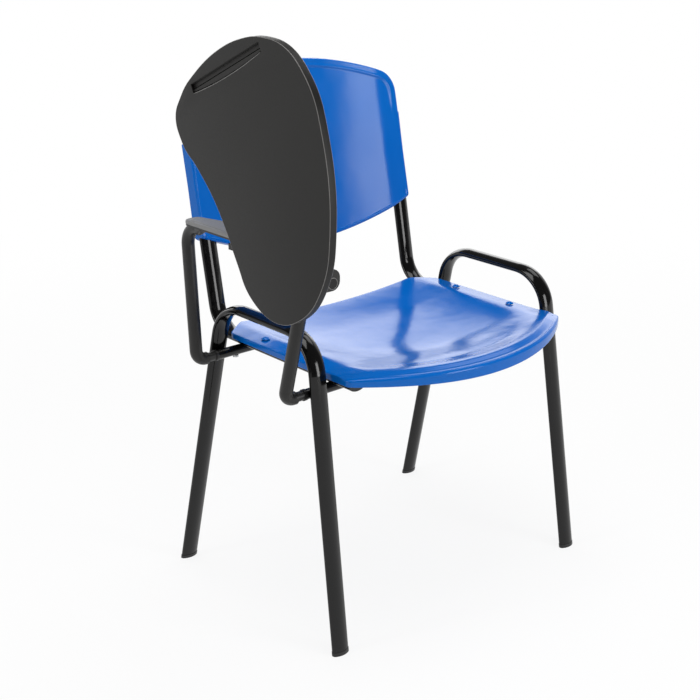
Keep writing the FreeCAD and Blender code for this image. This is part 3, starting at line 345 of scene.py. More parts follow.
def grid_of(loop, across, up):
    """Inside grid of a loop that was sampled as bottom, right, top and left runs."""
    bottom = loop[:across + 1]
    right = loop[across:across + up + 1]
    top = loop[across + up:2 * across + up + 1][::-1]
    left = loop[np.arange(2 * across + up, len(loop) + 1) % len(loop)][::-1]
    return coons(bottom, right, top, left)


def ring_faces(bands, count, rings):
    """Faces between rings of equal count; the last band meets the first ring where they close."""
    faces = []
    for band in range(bands):
        here = band * count
        there = (band + 1) % rings * count
        for i in range(count):
            j = (i + 1) % count
            faces.append((here + i, here + j, there + j, there + i))
    return faces


def stack(rings):
    """Closed mesh from rings of equal count, capped at both ends."""
    count = len(rings[0])
    last = (len(rings) - 1) * count
    points = [tuple(point) for ring in rings for point in ring]
    caps = [tuple(range(count))[::-1], tuple(range(last, last + count))]
    return points, caps + ring_faces(len(rings) - 1, count, len(rings))


class Shell:
    """Collects rings and grids of one closed shell around an outline, whose rings have a fixed count."""

    def __init__(self, loop, across, up):
        self.loop = loop
        self.normal = loop_normals(loop)
        self.across = across
        self.up = up
        self.count = 2 * (across + up)
        self.points = []
        self.faces = []

    def plan(self, inset):
        """The outline moved inwards."""
        return self.loop - self.normal * np.reshape(inset, (-1, 1))

    def ring(self, plan, height):
        start = len(self.points)
        self.points.extend(np.column_stack((plan, np.broadcast_to(height, len(plan)))))
        return start

    def band(self, plan, height, last):
        """A new ring, joined to the ring that starts at last."""
        start = self.ring(plan, height)
        for i in range(self.count):
            j = (i + 1) % self.count
            self.faces.append((start + i, start + j, last + j, last + i))
        return start

    def rounded_edge(self, rim, rounding, steps, last):
        """Quarter round from the rim's height out to the wall."""
        for step in range(steps + 1):
            angle = math.pi / 2 * step / steps
            inset = rounding * (1.0 - math.sin(angle))
            last = self.band(self.plan(inset), rim - rounding * (1.0 - math.cos(angle)), last)
        return last

    def fill(self, edge, plan, height, flip):
        """Grid inside the ring that starts at edge; its plan rows run from bottom to top."""
        across, up = self.across, self.up
        index = np.zeros((up + 1, across + 1), int)
        index[0, :] = edge + np.arange(across + 1)
        index[:, across] = edge + across + np.arange(up + 1)
        index[up, :] = edge + across + up + np.arange(across, -1, -1)
        index[:, 0] = edge + (2 * across + up + np.arange(up, -1, -1)) % self.count
        inner = len(self.points)
        index[1:up, 1:across] = inner + np.arange((up - 1) * (across - 1)).reshape(up - 1, across - 1)
        inside = plan[1:up, 1:across].reshape(-1, 2)
        self.points.extend(np.column_stack((inside, height[1:up, 1:across].reshape(-1))))
        for r in range(up):
            for c in range(across):
                quad = (index[r, c], index[r, c + 1], index[r + 1, c + 1], index[r + 1, c])
                self.faces.append(tuple(int(k) for k in (quad[::-1] if flip else quad)))


# Seat
SEAT_HALF = 0.2305
SEAT_REAR_HALF = 0.188
SEAT_CHAMFER_Y = 0.103
SEAT_CORNER = 0.012
SEAT_FRONT_CORNER = 0.014
SEAT_FRONT_RADIUS = 0.354
SEAT_ARC_Y = SEAT_FRONT_Y + SEAT_FRONT_RADIUS
SEAT_FLANGE = 0.4323
SEAT_WALL = 0.0034
SEAT_FRONT_LIFT = 0.0022
SEAT_BOWL_HALF = 0.197
SEAT_BOWL_DEPTH = 0.0188
SEAT_BOWL_START = 0.0185
SEAT_REAR_LIFT = 0.44
SEAT_SLOPE_X = 0.193
SEAT_SLOPE_WIDTH = 0.0375
SEAT_SLOPE_DROP = 0.0030
SEAT_CREST_HEIGHT = 0.0038
SEAT_GROOVE_DEPTH = 0.0004
SEAT_SKIRT = 0.012
SEAT_HEM_DIP = 0.0063
SEAT_OVER_RAIL = 0.4282
SEAT_FLAT_EDGE = 0.0115
SEAT_HEM_ROUND = 0.0007
SEAT_ACROSS = 200
SEAT_UP = 190


def seat_top(x, y):
    """Height of the top: sloping flanges, a bowl, and a raised lip with two crests along the front."""
    inside = SEAT_FRONT_RADIUS - np.hypot(x, y - SEAT_ARC_Y)
    reach = np.abs(x)
    rim = SEAT_FLANGE + SEAT_FRONT_LIFT * smooth((-0.106 - y) / 0.124)
    bowl = SEAT_BOWL_DEPTH * (1.0 - np.minimum(reach / SEAT_BOWL_HALF, 1.3) ** 2.2)
    from_lip = inside - SEAT_BOWL_START
    front_wall = 0.40 * smooth(from_lip / 0.044) + 0.60 * smooth(from_lip / 0.168)
    rear_rise = 1.0 - SEAT_REAR_LIFT * smooth((y - 0.03) / 0.125)
    slope = SEAT_SLOPE_DROP * np.clip((reach - SEAT_SLOPE_X) / SEAT_SLOPE_WIDTH, 0.0, 1.0)
    depth = -soft_lower(-bowl * front_wall * rear_rise, -slope, 0.0020)
    lip = smooth((-0.120 - y) / 0.075)
    crest = (SEAT_CREST_HEIGHT * smooth((inside - 0.0080) / 0.0135)
             - SEAT_GROOVE_DEPTH * smooth((inside - 0.0045) / 0.0030))
    return rim - depth + lip * crest


def seat_hem(x, y):
    """Height of the skirt's lower edge: level, dipping along the front, raised over the rails."""
    hem = SEAT_FLANGE - SEAT_SKIRT - SEAT_HEM_DIP * np.clip((-0.183 - y) / 0.085, 0.0, 1.0) ** 2
    hem = np.minimum(hem, seat_top(x, y) - 0.0075)
    beside_rail = np.abs(np.abs(x) - UPRIGHT_X)
    over_rail = smooth((0.0185 - beside_rail) / 0.002) * smooth((y - 0.098) / 0.004)
    return hem + (SEAT_OVER_RAIL - hem) * over_rail


def seat_loop():
    """Outline of the seat as four sampled runs: front, right, rear and left."""
    side_front = SEAT_ARC_Y - math.sqrt(SEAT_FRONT_RADIUS ** 2 - SEAT_HALF ** 2)
    # the arc stops short of the corners, which are rounded on their own
    arc_end = math.asin(SEAT_HALF / SEAT_FRONT_RADIUS) - 0.045
    arc = [(SEAT_FRONT_RADIUS * math.sin(angle), SEAT_ARC_Y - SEAT_FRONT_RADIUS * math.cos(angle))
           for angle in np.linspace(-arc_end, arc_end, 160)]
    near = SEAT_ARC_Y - SEAT_FRONT_RADIUS * math.cos(arc_end)
    edge_x = SEAT_FRONT_RADIUS * math.sin(arc_end)
    corners = [(edge_x, near, 0.0001),
               (SEAT_HALF, side_front, SEAT_FRONT_CORNER), (SEAT_HALF, SEAT_CHAMFER_Y, SEAT_CORNER),
               (SEAT_REAR_HALF, SEAT_REAR_Y, SEAT_CORNER), (-SEAT_REAR_HALF, SEAT_REAR_Y, SEAT_CORNER),
               (-SEAT_HALF, SEAT_CHAMFER_Y, SEAT_CORNER), (-SEAT_HALF, side_front, SEAT_FRONT_CORNER),
               (-edge_x, near, 0.0001)]
    loop = np.concatenate((np.array(arc), polyline_with_arcs(corners)[ARC_POINTS:-ARC_POINTS]))
    steps = np.linalg.norm(np.roll(loop, -1, axis=0) - loop, axis=1)
    loop = loop[steps > 1e-6]
    front, right, rear, left = split_loop(loop, [(-0.226, -0.19), (0.226, -0.19), (0.21, 0.119),
                                                 (-0.21, 0.119)])
    even = np.linspace(0.0, 1.0, SEAT_ACROSS + 1)
    # rows stand closer together near the front lip
    ease = np.linspace(0.0, 1.0, SEAT_UP + 1) ** 1.45
    runs = [resample(front, even), resample(right, ease), resample(rear, even),
            resample(left, (1.0 - ease)[::-1])]
    return np.concatenate([run[:-1] for run in runs])


def make_seat():
    loop = seat_loop()
    shell = Shell(loop, SEAT_ACROSS, SEAT_UP)
    rounding = 0.0018 + 0.0034 * smooth((-0.165 - loop[:, 1]) / 0.05)

    def top_at(inset):
        place = shell.plan(inset)
        return seat_top(place[:, 0], place[:, 1])

    hem = seat_hem(loop[:, 0], loop[:, 1])
    inner = shell.plan(SEAT_FLAT_EDGE)
    grid = grid_of(inner, SEAT_ACROSS, SEAT_UP)
    grid_top = seat_top(grid[..., 0], grid[..., 1])
    last = shell.ring(inner, top_at(SEAT_FLAT_EDGE))
    shell.fill(last, grid, grid_top, False)
    for inset in (0.0102, 0.0090, 0.0079, 0.0069, 0.0060):
        last = shell.band(shell.plan(inset), top_at(inset), last)
    rim = top_at(rounding)
    last = shell.rounded_edge(rim, rounding, 8, last)
    wall_top = rim - rounding
    for share in (0.35, 0.7, 0.92):
        last = shell.band(loop, wall_top + (hem + SEAT_HEM_ROUND - wall_top) * share, last)
    for inset, lift in ((0.0, SEAT_HEM_ROUND), (0.0003, 0.0002), (0.0008, 0.0), (0.0026, 0.0),
                        (0.0031, 0.0002), (SEAT_WALL, SEAT_HEM_ROUND)):
        last = shell.band(shell.plan(inset), hem + lift, last)
    under = np.maximum(rim - SEAT_WALL, hem + 0.0010)
    for inset, share in ((SEAT_WALL, 0.6), (0.0036, 0.9), (0.0044, 1.0)):
        height = hem + SEAT_HEM_ROUND + (under - hem - SEAT_HEM_ROUND) * share
        last = shell.band(shell.plan(inset), height, last)
    last = shell.band(inner, top_at(SEAT_FLAT_EDGE) - SEAT_WALL, last)
    shell.fill(last, grid, grid_top - SEAT_WALL, True)
    points = np.array(shell.points) + np.array(SHIFT)
    piece = new_piece("seat_moulding", points, shell.faces, "frame", FINISHES["blue_shell"])
    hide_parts("seat_shell")


make_seat()


# Back
BACK_LEAN = math.radians(11.0)
BACK_ALONG = np.array((0.0, math.sin(BACK_LEAN), math.cos(BACK_LEAN)))
BACK_FORWARD = np.array((0.0, -math.cos(BACK_LEAN), math.sin(BACK_LEAN)))
BACK_FOOT_Z = 0.567
UPRIGHT_START = np.array((0.0, 0.157, 0.4176))
BACK_ORIGIN = (UPRIGHT_START + BACK_ALONG * (BACK_FOOT_Z - UPRIGHT_START[2]) / math.cos(BACK_LEAN)
               + BACK_FORWARD * UPRIGHT_DEPTH)
BACK_FOOT = 0.2265
BACK_EAVE = (0.22204, 0.214)
BACK_LOW_EDGE = -0.046
BACK_TOP = 0.264
BACK_FOOT_CORNER = 0.007
BACK_TOP_CORNER = 0.046
BACK_CREASE = 0.1845
BACK_STRIP_DROP = 0.0025
BACK_HOLLOW = 0.022
BACK_FLANGE = 0.009
BACK_POCKET = 0.021
BACK_POCKET_X = 0.1936
BACK_POCKET_TOP = 0.1504
BACK_BORE_TOP = 0.1478
BACK_WALL = 0.003
BACK_DRAFT = 0.003 / 0.021
BACK_ROUNDING = 0.0022
BACK_FLAT_EDGE = 0.0062
BACK_HEM = 0.0026
BACK_HEM_ROUND = 0.0006
BACK_ACROSS = 150
BACK_UP = 140
POCKET_SECTION = ((BACK_POCKET_X, -0.0231, 0.0016), (0.2284, -0.0210, 0.0016),
                  (0.2262, -0.0026, 0.0010), (BACK_POCKET_X, -0.0028, 0.0010))
POCKET_POINTS = 96
BORE_RADIUS = 0.0076


def lean_to_world(points):
    """Points (x, up the lean, forward) of the back as world places."""
    points = np.asarray(points)
    return (np.array(SHIFT) + BACK_ORIGIN + points[:, 0:1] * np.array((1.0, 0.0, 0.0))
            + points[:, 1:2] * BACK_ALONG + points[:, 2:3] * BACK_FORWARD)


def arc_through(half, ends, middle, count):
    """Points of the arc from -half to half with given end and middle heights."""
    sag = middle - ends
    radius = (half ** 2 + sag ** 2) / (2.0 * abs(sag))
    centre = middle - math.copysign(radius, sag)
    spread = math.asin(half / radius)
    angle = np.linspace(-spread, spread, count)
    return np.column_stack((radius * np.sin(angle), centre + math.copysign(radius, sag) * np.cos(angle)))


def rounded_runs(runs, radii):
    """Closed loop of runs joined end to end, with the joint after each run rounded."""
    cuts = []
    for i, run in enumerate(runs):
        after = runs[(i + 1) % len(runs)]
        leaving = run[-1] - run[-2]
        entering = after[1] - after[0]
        cosine = leaving @ entering / np.linalg.norm(leaving) / np.linalg.norm(entering)
        turn = math.acos(np.clip(cosine, -1.0, 1.0))
        cuts.append((radii[i] * math.tan(turn / 2.0), turn))
    pieces = []
    for i, run in enumerate(runs):
        length = np.linalg.norm(np.diff(run, axis=0), axis=1).sum()
        low = cuts[i - 1][0] / length
        high = 1.0 - cuts[i][0] / length
        pieces.append(resample(run, np.linspace(low, high, 400)))
    loop = []
    t = np.linspace(0.0, 1.0, 60)[1:-1, None]
    for i, piece in enumerate(pieces):
        after = pieces[(i + 1) % len(pieces)]
        handle = 4.0 / 3.0 * math.tan(cuts[i][1] / 4.0) * radii[i]
        start, end = piece[-1], after[0]
        first = start + unit(piece[-1] - piece[-2]) * handle
        second = end - unit(after[1] - after[0]) * handle
        bend = ((1 - t) ** 3 * start + 3 * (1 - t) ** 2 * t * first + 3 * (1 - t) * t ** 2 * second
                + t ** 3 * end)
        loop.extend((piece, bend))
    return np.concatenate(loop)


def back_front(x):
    """Depth of the front surface: a hollow between two side strips, with soft creases."""
    reach = np.abs(x)
    strip = -BACK_STRIP_DROP * (BACK_FOOT - reach) / (BACK_FOOT - BACK_CREASE)
    hollow = -BACK_STRIP_DROP - BACK_HOLLOW * (1.0 - (reach / BACK_CREASE) ** 2)
    return soft_lower(hollow, strip, 0.0016)


def back_detail(height, inside):
    """Raised rim along the top and its corners, and a bead above the lower edge."""
    high = smooth((height - 0.135) / 0.06)
    low = smooth((0.03 - height) / 0.04)
    rim = -0.0011 * smooth((inside - 0.0125) / 0.0035) + 0.0005 * ridge(inside, 0.0115, 0.0016)
    bead = 0.0007 * ridge(inside, 0.0048, 0.0014)
    return high * rim + low * bead


def back_loop():
    """The back's dense outline, and the same outline as four sampled runs."""
    foot = np.array(((-BACK_FOOT, 0.0), (BACK_FOOT, 0.0)))
    eave = np.array(((-BACK_EAVE[0], BACK_EAVE[1]), BACK_EAVE))
    share = np.linspace(0.0, 1.0, 400)[:, None]
    bottom = arc_through(BACK_FOOT, 0.0, BACK_LOW_EDGE, 800)
    right = foot[1] + (eave[1] - foot[1]) * share
    crown = arc_through(BACK_EAVE[0], BACK_EAVE[1], BACK_TOP, 800)[::-1]
    left = eave[0] + (foot[0] - eave[0]) * share
    loop = rounded_runs([bottom, right, crown, left],
                        (BACK_FOOT_CORNER, BACK_TOP_CORNER, BACK_TOP_CORNER, BACK_FOOT_CORNER))
    bottom, right, top, left = split_loop(loop, [(-0.2255, -0.001), (0.2255, -0.001), (0.2085, 0.206),
                                                 (-0.2085, 0.206)])
    even = np.linspace(0.0, 1.0, BACK_ACROSS + 1)
    ends = 0.5 - 0.5 * np.cos(np.pi * np.linspace(0.0, 1.0, BACK_UP + 1))
    runs = [resample(bottom, even), resample(right, ends), resample(top, even), resample(left, ends)]
    return loop, np.concatenate([run[:-1] for run in runs])


def nearest_distance(grid, loop):
    """Distance of each grid point from an outline."""
    flat = grid.reshape(-1, 2)
    near = [np.sqrt(((part[:, None, :] - loop[None, ::3, :]) ** 2).sum(axis=2)).min(axis=1)
            for part in np.array_split(flat, 40)]
    return np.concatenate(near).reshape(grid.shape[:2])


def make_back():
    outline, loop = back_loop()
    shell = Shell(loop, BACK_ACROSS, BACK_UP)

    def front_at(inset):
        place = shell.plan(inset)
        return back_front(place[:, 0]) + back_detail(place[:, 1], inset)

    inner = shell.plan(BACK_FLAT_EDGE)
    grid = grid_of(inner, BACK_ACROSS, BACK_UP)
    inside = nearest_distance(grid, outline)
    last = shell.ring(inner, front_at(BACK_FLAT_EDGE))
    shell.fill(last, grid, back_front(grid[..., 0]) + back_detail(grid[..., 1], inside), False)
    for inset in (0.0055, 0.0048, 0.0041, 0.0034, 0.0028):
        last = shell.band(shell.plan(inset), front_at(inset), last)
    last = shell.rounded_edge(front_at(BACK_ROUNDING), BACK_ROUNDING, 7, last)
    base = back_front(loop[:, 0])
    pocket = (np.abs(loop[:, 0]) > BACK_POCKET_X) & (loop[:, 1] < BACK_POCKET_TOP)
    depth = np.where(pocket, BACK_POCKET, BACK_FLANGE)
    for share in (0.35, 0.65, 0.92):
        height = base - BACK_ROUNDING + (BACK_ROUNDING - depth) * share
        last = shell.band(shell.plan(-BACK_DRAFT * depth * share), height, last)
    for inset, lift in ((0.0, BACK_HEM_ROUND), (0.0002, 0.0002), (0.0006, 0.0), (0.0020, 0.0),
                        (0.0024, 0.0002), (BACK_HEM, BACK_HEM_ROUND)):
        last = shell.band(shell.plan(inset - BACK_DRAFT * depth), base - depth + lift, last)
    for share in (0.5, 0.85, 1.0):
        inset = BACK_HEM - BACK_DRAFT * depth * (1.0 - share)
        rise = (depth - BACK_HEM_ROUND - BACK_WALL - 0.0004) * share
        last = shell.band(shell.plan(inset), base - depth + BACK_HEM_ROUND + rise, last)
    last = shell.band(shell.plan(0.0034), base - BACK_WALL, last)
    last = shell.band(inner, back_front(inner[:, 0]) - BACK_WALL, last)
    shell.fill(last, grid, back_front(grid[..., 0]) - BACK_WALL, True)
    piece = new_piece("back_moulding", lean_to_world(shell.points), shell.faces, "frame",
                      FINISHES["blue_shell"])
    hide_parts("back_shell")


def make_back_pocket(name, side):
    """Sleeve behind a side strip that takes the end of an upright."""
    count = POCKET_POINTS
    outer = polyline_with_arcs(POCKET_SECTION)
    outer = resample(np.concatenate((outer, outer[:1])), np.linspace(0.0, 1.0, count, endpoint=False))
    around = np.arctan2(outer[:, 1] + UPRIGHT_DEPTH, outer[:, 0] - UPRIGHT_X)
    # the bore has the oval section of the upright's tube
    stretch = BORE_RADIUS * np.clip(np.cos(around) * 1.6, -1.0, 1.0)
    bore = np.column_stack((UPRIGHT_X + BORE_RADIUS * np.cos(around) + stretch,
                            -UPRIGHT_DEPTH + BORE_RADIUS * np.sin(around)))
    bottom = arc_through(BACK_FOOT, 0.0, BACK_LOW_EDGE, 800)

    def ring(section, height):
        return np.column_stack((section[:, 0] * side, np.broadcast_to(height, (count,)), section[:, 1]))

    def ring_at_foot(section):
        return ring(section, np.interp(section[:, 0], bottom[:, 0], bottom[:, 1]) + 0.0004)

    centre = outer.mean(axis=0)
    smaller = centre + (outer - centre) * 0.96
    rings = [ring(bore, BACK_BORE_TOP), ring_at_foot(bore), ring_at_foot(outer),
             ring(outer, BACK_POCKET_TOP - 0.0008), ring(smaller, BACK_POCKET_TOP)]
    tips = [(UPRIGHT_X * side, height, -UPRIGHT_DEPTH) for height in (BACK_BORE_TOP, BACK_POCKET_TOP)]
    points = np.concatenate(rings + [np.array(tips)])
    faces = ring_faces(len(rings) - 1, count, len(rings))
    tip = len(rings) * count
    top = tip - count
    for i in range(count):
        j = (i + 1) % count
        faces.append((j, i, tip))
        faces.append((top + i, top + j, tip + 1))
    if side < 0:
        faces = [face[::-1] for face in faces]
    piece = new_piece(name, lean_to_world(points), faces, "frame", FINISHES["blue_shell"])
    piece.data.shade_flat()
    piece.data.set_sharp_from_angle(angle=math.radians(35.0))


make_back()
make_back_pocket("back_pocket_tablet_side", -1)
make_back_pocket("back_pocket_open_side", 1)


# Tablet
TABLET_BACK_X = -0.333
TABLET_FACE_X = -0.3445
TABLET_FRONT_Y = -0.279
TABLET_REAR_Y = 0.0625
TABLET_BOTTOM_Z = 0.539
TABLET_TOP_Z = 0.9225
TABLET_EDGE = 0.0010
TABLET_SKIN_X = TABLET_FACE_X + 0.0032
TABLET_RIB_PITCH = 0.044
TABLET_RIB_HALF = 0.0011
TABLET_BOSS_RADIUS = 0.0075
TABLET_HOLE_RADIUS = 0.0023
# corners of the outline as shares of the tablet's depth and height
TABLET_SHARES = (
    (0.420, 1.000), (0.560, 0.977), (0.700, 0.925), (0.830, 0.850), (0.946, 0.753), (1.000, 0.655),
    (0.955, 0.563), (0.850, 0.484), (0.750, 0.393), (0.668, 0.290), (0.600, 0.182), (0.520, 0.070),
    (0.342, 0.000), (0.150, 0.068), (0.040, 0.209), (0.000, 0.440), (0.032, 0.672), (0.125, 0.877),
    (0.250, 0.975),
)
TABLET_SCREWS = [(y, z) for y in (-0.198, -0.105) for z in (0.579, 0.663)]
GROOVE_START = (0.0205, 0.8428)
GROOVE_LENGTH = 0.1722
GROOVE_SLOPE = math.radians(25.0)
GROOVE_WIDTH = 0.0126
GROOVE_SAG = 0.0046
GROOVE_STEPS = 61
# upper edge, lower edge, sag of the lower edge, depth, chamfer, sag of the upper edge, rounding
GROOVE_CUTS = (
    (0.0, GROOVE_WIDTH, GROOVE_SAG, 0.0026, 0.0006, 0.0, 0.0008),
    (0.0006, 0.0070, 0.0, 0.0050, 0.0001, 0.0, 0.0008),
    (0.0066, 0.0083, 0.0, 0.0072, 0.0001, 0.0, 0.0002),
    (0.0107, 0.0124, GROOVE_SAG, 0.0050, 0.0001, GROOVE_SAG, 0.0002),
)
BEAD_TURNS = np.linspace(0.0, 2.0 * math.pi, 9)[:-1]


def arc_points(start, knee, end):
    """Points of the arc that is tangent to both lines of a knee, without its end."""
    weight = np.linalg.norm(end - start) / 2.0 / np.linalg.norm(knee - start)
    t = np.linspace(0.0, 1.0, 11)[:-1, None]
    parts = ((1 - t) ** 2, 2 * weight * t * (1 - t), t ** 2)
    return (parts[0] * start + parts[1] * knee + parts[2] * end) / (parts[0] + parts[1] + parts[2])


def tablet_loop():
    """Outline of the tablet (y, z), counterclockwise, as a chain of tangent arcs."""
    corners = np.array(TABLET_SHARES)[::-1]
    points = np.column_stack((TABLET_FRONT_Y + (TABLET_REAR_Y - TABLET_FRONT_Y) * corners[:, 0],
                              TABLET_BOTTOM_Z + (TABLET_TOP_Z - TABLET_BOTTOM_Z) * corners[:, 1]))
    before = points - np.roll(points, 1, axis=0)
    after = np.roll(points, -1, axis=0) - points
    along = before * (after ** 2).sum(axis=1)[:, None] + after * (before ** 2).sum(axis=1)[:, None]
    along /= np.linalg.norm(along, axis=1)[:, None]
    loop = []
    for i in range(len(points)):
        j = (i + 1) % len(points)
        chord = points[j] - points[i]
        share = 2 * (1 - along[i] @ along[j])
        lean = chord @ (along[i] + along[j])
        reach = (math.sqrt(lean ** 2 + share * (chord @ chord)) - lean) / share
        first = points[i] + along[i] * reach
        second = points[j] - along[j] * reach
        meeting = (first + second) / 2.0
        loop.append(arc_points(points[i], first, meeting))
        loop.append(arc_points(meeting, second, points[j]))
    return np.concatenate(loop)


def block_between(low, high):
    """Eight-cornered tool between two corners."""
    ring = ((low[1], low[2]), (high[1], low[2]), (high[1], high[2]), (low[1], high[2]))
    return stack([[(x,) + corner for corner in ring] for x in (low[0], high[0])])


def make_tool(parts):
    """Scratch object from one or more closed meshes."""
    points, faces = [], []
    for part_points, part_faces in parts:
        start = len(points)
        points.extend(part_points)
        faces.extend(tuple(k + start for k in face) for face in part_faces)
    mesh = bpy.data.meshes.new("tool")
    mesh.from_pydata(points, [], faces)
    shape = bmesh.new()
    shape.from_mesh(mesh)
    bmesh.ops.recalc_face_normals(shape, faces=shape.faces)
    shape.to_mesh(mesh)
    shape.free()
    tool = bpy.data.objects.new("tool", mesh)
    scene.collection.objects.link(tool)
    return tool


def drop_tool(tool):
    scrap = tool.data
    bpy.data.objects.remove(tool)
    bpy.data.meshes.remove(scrap)


def cut(target, parts):
    """Take closed meshes away from a scratch object."""
    tool = make_tool(parts)
    step = target.modifiers.new("cut", "BOOLEAN")
    step.operation = "DIFFERENCE"
    step.solver = "EXACT"
    step.object = tool
    depsgraph = bpy.context.evaluated_depsgraph_get()
    result = bpy.data.meshes.new_from_object(target.evaluated_get(depsgraph))
    target.modifiers.clear()
    old = target.data
    target.data = result
    bpy.data.meshes.remove(old)
    drop_tool(tool)


def plate_ring(loop, normal, inset, x):
    """The tablet's outline moved inwards, at a place across its thickness."""
    return np.column_stack((np.full(len(loop), x), loop - normal * inset))


def groove_loop(high, low, sag, grow, high_sag=0.0):
    """Outline between an upper and a lower edge, each sagging in its middle by its own amount."""
    along = np.array((-math.cos(GROOVE_SLOPE), math.sin(GROOVE_SLOPE)))
    down = np.array((-math.sin(GROOVE_SLOPE), -math.cos(GROOVE_SLOPE)))
    share = np.linspace(0.0, 1.0, GROOVE_STEPS)
    belly = 1.0 - (2.0 * share - 1.0) ** 2
    start = np.array(GROOVE_START) - along * grow
    line = start + along * (share[:, None] * (GROOVE_LENGTH + 2 * grow))
    upper = line + down * (high - grow + high_sag * belly)[:, None]
    lower = line + down * (low + grow + sag * belly)[:, None]
    return np.concatenate((upper, lower[::-1]))


def at_depth(loop, x):
    return [(x, place[0], place[1]) for place in loop]


def groove_tool(high, low, sag, depth, chamfer, high_sag, rounding):
    face = TABLET_FACE_X
    outer = groove_loop(high, low, sag, chamfer, high_sag)
    inner = groove_loop(high, low, sag, 0.0, high_sag)
    small = groove_loop(high, low, sag, -rounding, high_sag)
    return stack([at_depth(outer, face - 0.002), at_depth(outer, face), at_depth(inner, face + chamfer),
                  at_depth(inner, face + depth - rounding), at_depth(small, face + depth)])


def screw_tool(place, radius, low, high):
    turns = np.linspace(0.0, 2.0 * math.pi, 32, endpoint=False)
    ring = [(place[0] + radius * math.cos(turn), place[1] + radius * math.sin(turn)) for turn in turns]
    return stack([at_depth(ring, low), at_depth(ring, high)])


def take_mesh(scratch, name, body, finish, angle):
    """Turn a scratch object into a named piece with sharp edges above an angle."""
    mesh = scratch.data
    mesh.transform(Matrix.Translation(SHIFT))
    mesh.shade_smooth()
    mesh.set_sharp_from_angle(angle=math.radians(angle))
    mesh.name = name
    scratch.name = name
    mesh.materials.clear()
    mesh.materials.append(finish)
    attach(scratch, body)
    return scratch


def tablet_plate(loop, normal):
    """Full board with both edges rounded."""
    rings = []
    for step in range(6):
        angle = math.pi / 2 * step / 5
        x = TABLET_FACE_X + TABLET_EDGE * (1 - math.cos(angle))
        rings.append(plate_ring(loop, normal, TABLET_EDGE * (1 - math.sin(angle)), x))
    rings.append(plate_ring(loop, normal, 0.0002, (TABLET_FACE_X + TABLET_BACK_X) / 2))
    for step in range(5):
        angle = math.pi / 2 * step / 4
        x = TABLET_BACK_X - TABLET_EDGE * (1 - math.sin(angle))
        rings.append(plate_ring(loop, normal, TABLET_EDGE * (1 - math.cos(angle)), x))
    return make_tool([stack(rings)])


def tablet_cells(loop, normal):
    """The hollow behind the board's skin, less its ribs, the groove's floor and the screw bosses."""
    low_x = TABLET_SKIN_X - 0.001
    high_x = TABLET_BACK_X + 0.002
    cells = make_tool([stack([plate_ring(loop, normal, 0.0034, TABLET_SKIN_X),
                              plate_ring(loop, normal, 0.0030, TABLET_BACK_X + 0.001)])])
    upright = []
    for k in range(1, 8):
        y = TABLET_FRONT_Y + k * TABLET_RIB_PITCH
        upright.append(block_between((low_x, y - TABLET_RIB_HALF, TABLET_BOTTOM_Z - 0.01),
                                     (high_x, y + TABLET_RIB_HALF, TABLET_TOP_Z + 0.01)))
    level = []
    for k in range(1, 9):
        z = TABLET_BOTTOM_Z + k * TABLET_RIB_PITCH
        level.append(block_between((low_x, TABLET_FRONT_Y - 0.01, z - TABLET_RIB_HALF),
                                   (high_x, TABLET_REAR_Y + 0.01, z + TABLET_RIB_HALF)))
    cut(cells, upright)
    cut(cells, level)
    floor = groove_loop(0.0, GROOVE_WIDTH, GROOVE_SAG, 0.0022)
    cut(cells, [stack([at_depth(floor, low_x), at_depth(floor, TABLET_FACE_X + 0.0082)])])
    cut(cells, [screw_tool(place, TABLET_BOSS_RADIUS, low_x, high_x) for place in TABLET_SCREWS])
    points = [tuple(vertex.co) for vertex in cells.data.vertices]
    faces = [tuple(face.vertices) for face in cells.data.polygons]
    drop_tool(cells)
    return points, faces


def add_edge_highlight_bead(name, loop, normal, inset, x, radius):
    """Thin light bead along an edge of the tablet; its light colour is a painted highlight on that edge.
    """
    rings = [plate_ring(loop, normal, inset + radius * math.cos(turn), x + radius * math.sin(turn))
             for turn in BEAD_TURNS]
    faces = ring_faces(len(rings), len(loop), len(rings))
    new_piece(name, np.concatenate(rings) + np.array(SHIFT), faces, "tablet", EDGE_HIGHLIGHT_FINISH)


def add_groove_highlight():
    """Thin light bead along the groove's lower edge, thinner at its ends; its light colour is a painted
    highlight on the groove's lip.
    """
    lip = groove_loop(0.0, GROOVE_WIDTH, GROOVE_SAG, 0.0007)[GROOVE_STEPS:]
    along = np.gradient(lip, axis=0)
    along /= np.linalg.norm(along, axis=1)[:, None]
    sideways = np.column_stack((along[:, 1], -along[:, 0]))
    radius = 0.00055 * np.sqrt(np.clip(1.0 - np.linspace(-1.0, 1.0, GROOVE_STEPS) ** 8, 0.02, 1.0))
    rings = []
    for i in range(GROOVE_STEPS):
        rings.append([(TABLET_FACE_X + 0.0001 + radius[i] * math.sin(turn),
                       *(lip[i] + sideways[i] * radius[i] * math.cos(turn))) for turn in BEAD_TURNS])
    points, faces = stack(rings)
    new_piece("tablet_groove_highlight", np.array(points) + np.array(SHIFT), faces, "tablet",
              EDGE_HIGHLIGHT_FINISH)


def make_tablet():
    loop = tablet_loop()
    normal = loop_normals(loop)
    board = tablet_plate(loop, normal)
    cut(board, [tablet_cells(loop, normal)])
    for measures in GROOVE_CUTS:
        cut(board, [groove_tool(*measures)])
    cut(board, [screw_tool(place, TABLET_HOLE_RADIUS, TABLET_SKIN_X, TABLET_BACK_X + 0.002)
                for place in TABLET_SCREWS])
    piece = take_mesh(board, "tablet_moulding", "tablet", FINISHES["tablet_grey"], 32.0)
    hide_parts("tablet_board")
    # the light beads along the face and back edges are painted highlights on the board's rounded edges
    add_edge_highlight_bead("tablet_face_highlight", loop, normal, 0.0006, TABLET_FACE_X + 0.0005, 0.00052)
    add_edge_highlight_bead("tablet_back_highlight", loop, normal, 0.0004, TABLET_BACK_X - 0.0005, 0.00045)
    add_groove_highlight()


make_tablet()


# Armrest
PAD_POINTS = 240
PAD_RISE = 0.0012
PAD_WRAP = 0.62
PAD_OVERHANG = 0.0009
PAD_EDGE = 0.0026


